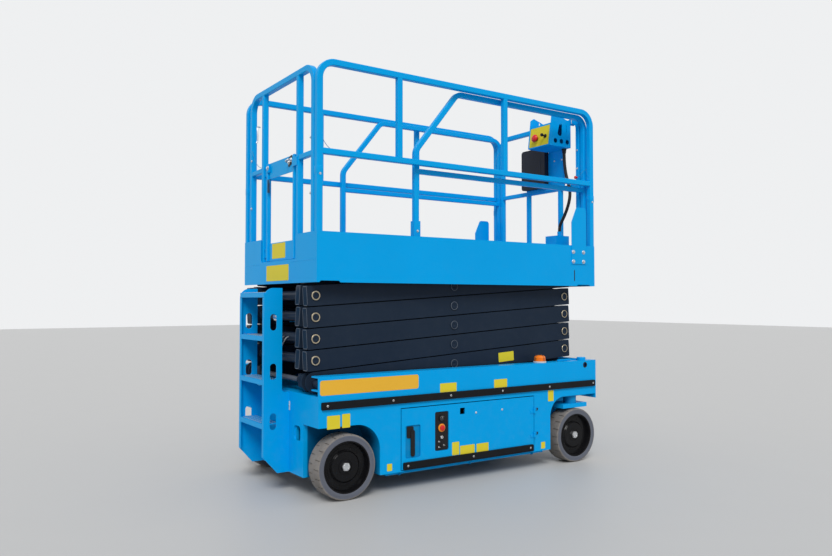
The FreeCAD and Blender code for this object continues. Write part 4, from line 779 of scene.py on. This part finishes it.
pinRings = {"rear": newPinRing(0.0205, wornBrass), "front": newPinRing(0.0225, wornBrass),
            "centre": newPinRing(0.0240, edgePaint)}
width, height = arms["tube"]
endPlate = newSheet(width, height, 0.010, 0.0022, 0.0032, 0.0006)
endPlate.data.materials.append(armPaint)
endPlate.data.materials.append(edgePaint)
# The rim faces of each end plate take the paler edgePaint: a painted highlight along the plate's edges
for face in endPlate.data.polygons:
    rim = max(abs(face.center.x) / width, abs(face.center.y) / height) > 0.46
    face.material_index = 1 if rim else 0
for level in range(1, arms["levels"] + 1):
    lowZ = arms["firstZ"] + arms["pitch"] * (level - 1)
    highZ = lowZ + arms["pitch"]
    spots = [("front", arms["frontX"], lowZ),
             ("centre", (arms["frontX"] + arms["rearX"]) / 2, (lowZ + highZ) / 2)]
    if level < arms["levels"]:
        spots.append(("rear", arms["rearX"], highZ))
    rings = [copied(pinRings[key], (x, side * arms["ringY"], z), word)
             for key, x, z in spots for word, side in sides]
    finished(joined(rings), f"pinRings{level}", f"inner_{level}")
    frontPin, rearPin = Vector((arms["frontX"], 0, lowZ)), Vector((arms["rearX"], 0, lowZ))
    highEnd = arms["end"] if level < arms["levels"] else arms["shortEnd"]
    innerEnds = [("rear", frontPin, -armLength - highEnd)]
    outerEnds = [("front", rearPin, armLength + arms["end"])]
    if level > 1:
        innerEnds.append(("front", frontPin, arms["end"]))
        outerEnds.append(("rear", rearPin, -arms["end"]))
    for word, ends, y, tilt in (("inner", innerEnds, arms["innerY"], restAngle),
                                ("outer", outerEnds, arms["outerY"], -restAngle)):
        finished(closedEnds(ends, y, tilt), f"{word}ArmEnds{level}", f"{word}_{level}")
dropped(endPlate, *pinRings.values())

# Cross shaft between the lowest arms' rear ends, with its hub blocks and collars
shaft = {"radius": 0.016, "length": 0.816, "hub": (0.058, 0.074, 0.088), "hubY": 0.328, "collar": 0.026,
         "collarLength": 0.022, "collarY": 0.279}
x, z = arms["rearX"], arms["firstZ"]
hubs = [blocked(armPaint, shaft["hub"], (x, side * shaft["hubY"], z), 0.012, 3) for side in (-1, 1)]
for side in (-1, 1):
    collar = newRound(shaft["collar"], shaft["collarLength"], (x, side * shaft["collarY"], z), "right", 24)
    hubs.append(dressed(edged(collar, 0.003), armPaint))
rod = dressed(newRound(shaft["radius"], shaft["length"], (x, 0, z), "right", 28), edgePaint)
finished(joined(hubs + [rod]), "lowerShaft", "outer_1")
print("arm fittings ready")


# Ladder treads: rows of raised studs
tread = {"firstZ": 0.415, "pitch": 0.264, "rungs": 4, "x": -1.174, "rows": 4, "rowStep": 0.026, "studs": 13,
         "studStep": 0.028, "radius": 0.0066, "height": 0.0024}
r, top = tread["radius"], tread["height"]
stud = turned(brightSteel, 8, (0, top), (r * 0.6, top), (r, 0))
row = repeated(copied(stud), tread["studs"], (0, tread["studStep"], 0))
field = repeated(row, tread["rows"], (tread["rowStep"], 0, 0))
startX = tread["x"] - tread["rowStep"] * (tread["rows"] - 1) / 2
startY = -tread["studStep"] * (tread["studs"] - 1) / 2
places = [(startX, startY, tread["firstZ"] + tread["pitch"] * k) for k in range(tread["rungs"])]
finished(scattered(field, places), "ladderStuds", "chassis")
dropped(stud, field)

# Deck plates: short raised bars that lean in turn to either side
deckGrip = {"barLength": 0.026, "barWidth": 0.005, "height": 0.0012, "taper": (0.86, 0.5, 1), "step": 0.062,
            "main": ((-1.030, -0.520), (-0.376, 0.520), 1.410, "platform"),
            "extension": ((-0.290, -0.440), (1.130, 0.440), 1.424, "extension")}
bar = dressed(newSheet(deckGrip["barLength"], deckGrip["barWidth"], 0.0, deckGrip["height"]), bluePaint)
editing(bar, "FACE", lambda face: face.normal.z > 0.9)
bpy.ops.transform.resize(value=deckGrip["taper"])
bpy.ops.object.mode_set(mode="OBJECT")
half, lean = deckGrip["step"] / 2, math.pi / 4
four = ((0, 0, lean), (half, 0, -lean), (0, half, -lean), (half, half, lean))
bars = joined([copied(bar, (x, y, 0), roll=roll) for x, y, roll in four])
for key in ("main", "extension"):
    (x0, y0), (x1, y1), z, body = deckGrip[key]
    field = copied(bars, (x0, y0, z))
    repeated(field, int((x1 - x0) / deckGrip["step"]), (deckGrip["step"], 0, 0))
    repeated(field, int((y1 - y0) / deckGrip["step"]) + 1, (0, deckGrip["step"], 0))
    finished(field, key + "DeckGrip", body)
dropped(bar, bars)
print("ladder and deck surfaces ready")


# Flashing lamp: ribbed lens on a pale base, under two wire bows
lamp = {"place": (0.682, -0.5505, 0.722), "base": 0.046, "baseHeight": 0.010, "lens": 0.040, "ribs": 7,
        "ribPitch": 0.0040, "bow": 0.0445, "bowHeight": 0.049, "bowWire": 0.0016}
r, top = lamp["base"], lamp["baseHeight"]
base = turned(paleEnamel, 36, (0, 0), (r - 0.0005, 0), (r, 0.0015), (r, top - 0.0025), (r - 0.0025, top),
              (0, top))
r = lamp["lens"]
ribs = []
for k in range(lamp["ribs"]):
    z = top + 0.0010 + k * lamp["ribPitch"]
    ribs += [(r, z), (r, z + 0.0022), (r - 0.0012, z + 0.0031)]
lens = turned(lampPlastic, 36, (0.038, 0.0095), *ribs, (0.0372, 0.0410), (0.0325, 0.0465), (0.0240, 0.0505),
              (0.0115, 0.0522), (0, 0.0525))
bowRoute = [(lamp["bow"] * math.cos(a), 0, top + lamp["bowHeight"] * math.sin(a) ** 0.7)
            for a in (math.pi * k / 8 for k in range(9))]
bow = dressed(newRod(bowRoute, lamp["bowWire"]), darkSteel)
whole = joined([base, lens, bow, copied(bow, roll=math.pi / 2)])
beacon = placed(whole, lamp["place"], "up", "flashingLamp", "chassis", "orange_lamp")
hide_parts("beacon")
dropped(whole)
print("lamp ready")


# Battery tops: raised lid, vent caps, terminals and the links between batteries
battery = {"x": (-0.218, 0.060, 0.338), "y": 0.407, "top": 0.408, "lid": (0.248, 0.168, 0.004),
           "capStep": 0.062, "postX": 0.105, "postY": 0.062, "link": (0.092, 0.018, 0.0025),
           "linkRise": 0.0062}
cap = turned(yellowPlastic, 18, (0, 0.0095), (0.0060, 0.0095), (0.0070, 0.0075), (0.0118, 0.0070),
             (0.0130, 0.0055), (0.0130, 0.003))
post = turned(brightSteel, 14, (0, 0.0125), (0.0055, 0.0120), (0.0065, 0.0045), (0.0110, 0.0040),
              (0.0115, 0.003))
lid = blocked(batteryCase, battery["lid"], (0, 0, battery["lid"][2] / 2), 0.0015, 1)
link = blocked(blackPlastic, battery["link"], edge=0.0008, segments=1)
for word, side in sides:
    tops = []
    for x in battery["x"]:
        at = Vector((x, side * battery["y"], battery["top"]))
        tops.append(copied(lid, at))
        tops += [copied(cap, at + Vector((k * battery["capStep"], 0, 0))) for k in (-1, 0, 1)]
        at += Vector((0, side * battery["postY"], 0))
        tops += [copied(post, at + Vector((k * battery["postX"], 0, 0))) for k in (-1, 1)]
    for x0, x1 in zip(battery["x"], battery["x"][1:]):
        y, z = side * (battery["y"] + battery["postY"]), battery["top"] + battery["linkRise"]
        tops.append(copied(link, ((x0 + x1) / 2, y, z)))
    finished(joined(tops), word + "BatteryTops", word + "_door_body")
dropped(cap, post, lid, link)
print("battery tops ready")


# Entry gate and rear rail: U-bolt on its back plate, catch, spring and hook, all on the rear
gateTrim = {"faceX": -1.0395, "uBolt": (-0.140, 2.030), "uHalf": 0.017, "uWire": 0.0045, "uTurn": 0.35,
            "catch": (0.194, 2.024), "catchSize": (0.014, 0.042, 0.046)}
half = gateTrim["uHalf"]
leg = [(half, 0, z) for z in (0.026, 0.012, -0.001)]
bow = newRod([(-half, 0, z) for x, y, z in reversed(leg)] + [(0, 0, 0.031)] + leg, gateTrim["uWire"])
nuts = [copied(steelBolt, (side * half, 0, 0.0028)) for side in (-1, 1)]
backPlate = dressed(newSheet(0.066, 0.054, 0.006, 0.003, 0.004, 0.0006), blackPlastic)
uBolt = joined([backPlate, dressed(bow, brightSteel)] + nuts)
placed(uBolt, (gateTrim["faceX"], *gateTrim["uBolt"]), "rear", "gateUBolt", "gate", "bright_steel",
       roll=gateTrim["uTurn"])
(y, z), depth = gateTrim["catch"], gateTrim["catchSize"][0]
catch = blocked(bluePaint, gateTrim["catchSize"], (gateTrim["faceX"] - depth / 2, y, z))
knob = copied(steelBolt, (gateTrim["faceX"] - depth, y - 0.009, z + 0.008), "rear")
finished(joined([catch, knob]), "gateCatch", "gate")
dropped(uBolt)


# Coil springs, turned as a screw of a small ring
def newSpring(radius, wire, turns, pitch):
    spring = newOutline([(radius + wire * math.cos(a), 0, wire * math.sin(a))
                         for a in (2 * math.pi * k / 6 for k in range(6))])
    modified(spring, "SCREW", screw_offset=pitch, iterations=turns, steps=12, render_steps=12,
             use_merge_vertices=True)
    editing(spring, "FACE", lambda face: True)
    bpy.ops.mesh.fill_holes(sides=8)
    return closed(spring)


coil = {"radius": 0.0085, "wire": 0.0021, "turns": 11, "pitch": 0.0078, "foot": (-1.0503, 0.174, 1.868)}
spring = dressed(newSpring(coil["radius"], coil["wire"], coil["turns"], coil["pitch"]), darkSteel)
placed(spring, coil["foot"], "up", "gateSpring", "gate", "dark_steel")
dropped(spring)
hook = {"wire": 0.0048,
        "route": [(-1.040, 0.350, 2.336), (-1.052, 0.350, 2.338), (-1.064, 0.346, 2.336),
                  (-1.068, 0.334, 2.322), (-1.068, 0.329, 2.290), (-1.068, 0.327, 2.250),
                  (-1.070, 0.327, 2.226), (-1.078, 0.327, 2.220)]}
rod = dressed(newRod(hook["route"], hook["wire"]), brightSteel)
finished(rod, "rearRailHook", "platform")
print("gate fittings ready")


# Bolts and bushes: (name, body, facing, fastener, places)
smallBolt = dressed(joined([edged(newRound(0.0062, 0.0045, (0, 0, 0.0032), sides=6), 0.0008, 1),
                            newTurned([(0, 0.001), (0.0085, 0.001), (0.0085, -0.0004)], 14)]), brightSteel)
bush = turned(blackPlastic, 28, (0.0130, -0.009), (0.0130, 0.0010), (0.0140, 0.0018), (0.0195, 0.0018),
              (0.0205, 0.0008), (0.0205, -0.0004))
cornerX, cornerZ, railX = (1.007, 1.111), (1.5125, 1.443), (-1.043, 1.213)
bolts = [
    ("cornerBoltsRight", "platform", "right", steelBolt, [(x, -0.565, z) for x in cornerX for z in cornerZ]),
    ("cornerBoltsLeft", "platform", "left", steelBolt, [(x, 0.565, z) for x in cornerX for z in cornerZ]),
    ("rearRailBolts", "platform", "rear", smallBolt,
     [(-1.056, y, z) for y in (-0.4585, 0.4585) for z in (1.79, 2.12)]),
    ("sideRailBoltsRight", "platform", "right", smallBolt, [(x, -0.558, 1.895) for x in railX]),
    ("sideRailBoltsLeft", "platform", "left", smallBolt, [(x, 0.558, 1.895) for x in railX]),
    ("frontPostBolts", "extension", "rear", smallBolt, [(1.182, -0.440, 2.300), (1.182, -0.440, 2.160)]),
    ("sleeveBoltsRight", "extension", "right", smallBolt, [(-0.329, -0.510, z) for z in (1.48, 1.60)]),
    ("sleeveBoltsLeft", "extension", "left", smallBolt, [(-0.329, 0.510, z) for z in (1.48, 1.60)]),
    ("tieDownBushRight", "chassis", "right", bush, [(1.087, -0.595, 0.690)]),
    ("tieDownBushLeft", "chassis", "left", bush, [(1.087, 0.595, 0.690)]),
]
for name, body, facing, kind, places in bolts:
    finished(scattered(kind, places, facing), name, body)
dropped(smallBolt, bush)

# Sleeve joints of the folding rails: a thin collar round each corner upright
sleeve = {"size": (0.0390, 0.0420, 0.050), "y": 0.539, "z": 1.917}
collar = blocked(bluePaint, sleeve["size"], edge=0.004)
places = [(x, y, sleeve["z"]) for x in railX for y in (-sleeve["y"], sleeve["y"])]
finished(scattered(collar, places), "railCollars", "platform")
dropped(collar)
print("bolts ready")


# Control station: blank yellow plate, stop button and lever, at (y, z) on the leaning rear face
station = {"footX": 0.960, "footZ": 2.328, "lean": math.atan2(0.023, 0.172), "plate": (-0.2540, 2.412),
           "stop": (-0.228, 2.396), "lever": (-0.318, 2.404)}


def onStation(piece, key, lift):
    y, z = station[key]
    x = station["footX"] + (z - station["footZ"]) * math.tan(station["lean"]) - lift
    return copied(piece, (x, y, z), "rear", tilt=station["lean"])


sheet = dressed(newSheet(0.208, 0.150, 0.004, 0.0012, 0.003, 0.0004), yellowPlate)
finished(onStation(sheet, "plate", 0.0004), "stationPlate", "extension")
collar = turned(blackPlastic, 24, (0, 0.006), (0.013, 0.006), (0.0155, 0.004), (0.0155, 0))
head = turned(redPlastic, 32, (0, 0.0430), (0.0110, 0.0418), (0.0205, 0.0380), (0.0270, 0.0325),
              (0.0300, 0.0260), (0.0285, 0.0205), (0.0220, 0.0170), (0.0140, 0.0140), (0.0130, 0.0055))
button = joined([collar, head])
base = turned(blackPlastic, 20, (0, 0.007), (0.010, 0.007), (0.015, 0.004), (0.016, 0))
grip = turned(blackPlastic, 20, (0, 0.0470), (0.0085, 0.0460), (0.0125, 0.0405), (0.0128, 0.0345),
              (0.0095, 0.0260), (0.0060, 0.0210), (0.0052, 0.0060))
lever = joined([base, grip])
knobs = joined([onStation(button, "stop", 0.0005), onStation(lever, "lever", 0.0005)])
finished(knobs, "stationKnobs", "extension")
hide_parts("control_knobs")
dropped(sheet, button, lever)


# The housing again, with its long tapered slot and round cable holes cut to full size in the right cheek
cheek = {"face": -0.372, "thickness": 0.004, "cut": 0.02, "plug": (1.078, 2.504, 0.0165, 0.0955),
         "slotLow": (1.0690, 2.4300, 0.0225), "slotHigh": (1.0780, 2.4885, 0.0155),
         "thin": (1.140, 2.470, 0.0045, 0.052), "holes": ((1.024, 2.368), (1.086, 2.368), (1.148, 2.368)),
         "holeRadius": 0.0185}
housing = nodes["control_housing"].copy()
housing.data = housing.data.copy()
bpy.context.scene.collection.objects.link(housing)
housing.parent = None
housing.matrix_world = Matrix.Identity(4)
editing(housing, "FACE", lambda face: True)
closed(housing)
x, z, width, height = cheek["plug"]
plug = newBlock((width, cheek["thickness"], height), (x, cheek["face"] + cheek["thickness"] / 2, z))
cutBy(housing, plug, "UNION")
(x0, z0, r0), (x1, z1, r1) = cheek["slotLow"], cheek["slotHigh"]
outline = [(x0 + r0 * math.cos(a), z0 + r0 * math.sin(a)) for a in (math.pi * (1 + k / 8) for k in range(9))]
outline += [(x1 + r1 * math.cos(a), z1 + r1 * math.sin(a)) for a in (math.pi * k / 8 for k in range(9))]
prism = newPrism(outline, -cheek["cut"] / 2, cheek["cut"] / 2)
cutters = [copied(prism, (0, cheek["face"], 0), "right")]
dropped(prism)
x, z, width, height = cheek["thin"]
cutters.append(newBlock((width, cheek["cut"], height), (x, cheek["face"], z)))
for x, z in cheek["holes"]:
    cutters.append(newRound(cheek["holeRadius"], cheek["cut"], (x, cheek["face"], z), "right", 24))
for cutter in cutters:
    cutBy(housing, cutter)
finished(dressed(housing, bluePaint), "controlHousing", "extension", 30)
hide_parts("control_housing")

# Panel of the document box, sleeve of the cable, and small hardware about the station
low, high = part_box("document_box")
sheet = dressed(newSheet(0.170, 0.200, 0.012, 0.0016, 0.006, 0.0008), slatePlastic)
at = (low.x + 0.0004, (low.y + high.y) / 2, (low.z + high.z) / 2 + 0.010)
placed(sheet, at, "rear", "documentBoxPanel", "extension", "black_plastic")
strainRelief = {"length": 0.034, "wide": 0.0190, "narrow": 0.0146, "rim": 0.006, "room": 0.0002}
bore, wide, length = cable["radius"] + strainRelief["room"], strainRelief["wide"], strainRelief["length"]
relief = newTurned([(bore, 0.0), (wide, 0.0), (wide, strainRelief["rim"]), (0.0172, 0.0075),
                    (strainRelief["narrow"], length), (bore, length)], 24, ring=True)
dressed(relief, cableRubber)
placed(relief, cable["route"][0], "down", "cableStrainRelief", "extension", "black_rubber")
clamp = {"rearX": 1.180, "frontX": 1.222, "y": -0.386, "legs": (2.512, 2.530, 2.552), "top": 2.556,
         "wire": 0.0038}
saddle = [(clamp["rearX"], clamp["y"], z) for z in clamp["legs"]]
saddle.append(((clamp["rearX"] + clamp["frontX"]) / 2, clamp["y"], clamp["top"]))
saddle += [(clamp["frontX"], clamp["y"], z) for z in reversed(clamp["legs"])]
finished(dressed(newRod(saddle, clamp["wire"]), brightSteel), "railClamp", "extension")
pull = turned(redPlastic, 18, (0, 0.026), (0.0085, 0.0255), (0.0115, 0.0225), (0.0115, 0.015),
              (0.0060, 0.012), (0.0055, 0.0))
placed(pull, (1.1815, -0.440, 2.090), "rear", "railPullKnob", "extension", "red_plastic")
places = [(1.1802, -0.283, 2.253), (1.1802, -0.200, 2.253)]
finished(scattered(screwHead, places, "rear"), "stationBackBolts", "extension")
dropped(sheet, relief, pull)
print("control station ready")


# Black sheet painted as the shade in the skirt's slot, and weld beads of the skirt
# Painted shade: a thin black sheet stands for the shade inside the skirt's slot
skirtShadeSheet = dressed(newSheet(0.0085, 0.080, 0.004, 0.0005), blackPlastic)
placed(skirtShadeSheet, (1.0225, -0.559, 1.341), "right", "skirtSlot", "platform", "black_plastic")
weld = {"size": (0.0022, 0.020, 0.0034), "x": -1.0632, "z": 1.396, "step": 0.030,
        "rows": ((0.290, 9), (-0.535, 12))}
bead = blocked(bluePaint, weld["size"], edge=0.0010, segments=1)
rows = [repeated(copied(bead, (weld["x"], y, weld["z"])), count, (0, weld["step"], 0))
        for y, count in weld["rows"]]
finished(joined(rows), "skirtWeldBeads", "platform")

# Socket plate on the tub's rear
socket = {"x": -1.067, "z": 0.518, "plateY": -0.1615, "holeY": -0.1450}
socketPlate = dressed(newSheet(0.103, 0.0545, 0.004, 0.0020, 0.003, 0.0005), paleEnamel)
socketHole = turned(blackPlastic, 20, (0, 0.0022), (0.0105, 0.0022), (0.0115, 0.0040), (0.0150, 0.0040),
                    (0.0155, 0.0018))
socketPieces = [copied(socketPlate, (socket["x"], socket["plateY"], socket["z"]), "rear"),
                copied(socketHole, (socket["x"], socket["holeY"], socket["z"]), "rear"),
                copied(screwHead, (-1.0686, -0.2010, socket["z"]), "rear")]
finished(joined(socketPieces), "rearSocketPlate", "chassis")

# Low strips and bosses at the front end of the side beams
curb = {"size": (0.195, 0.010, 0.010), "x": 0.985, "y": 0.515, "z": 0.7265, "boss": 0.032,
        "bossHeight": 0.022, "bossX": 1.094, "bossY": 0.550, "bossZ": 0.7218}
strip = blocked(bluePaint, curb["size"], (curb["x"], 0, curb["z"]))
r, top = curb["boss"], curb["bossHeight"]
boss = turned(bluePaint, 28, (0, top), (r - 0.003, top), (r, top - 0.003), (r, 0))
curbs = [copied(strip, (0, side * curb["y"], 0)) for side in (-1, 1)]
curbs += [copied(boss, (curb["bossX"], side * curb["bossY"], curb["bossZ"])) for side in (-1, 1)]
finished(joined(curbs), "beamFrontCurbs", "chassis")
dropped(skirtShadeSheet, bead, socketPlate, socketHole, strip, boss, screwHead, steelBolt)
print("small things ready")
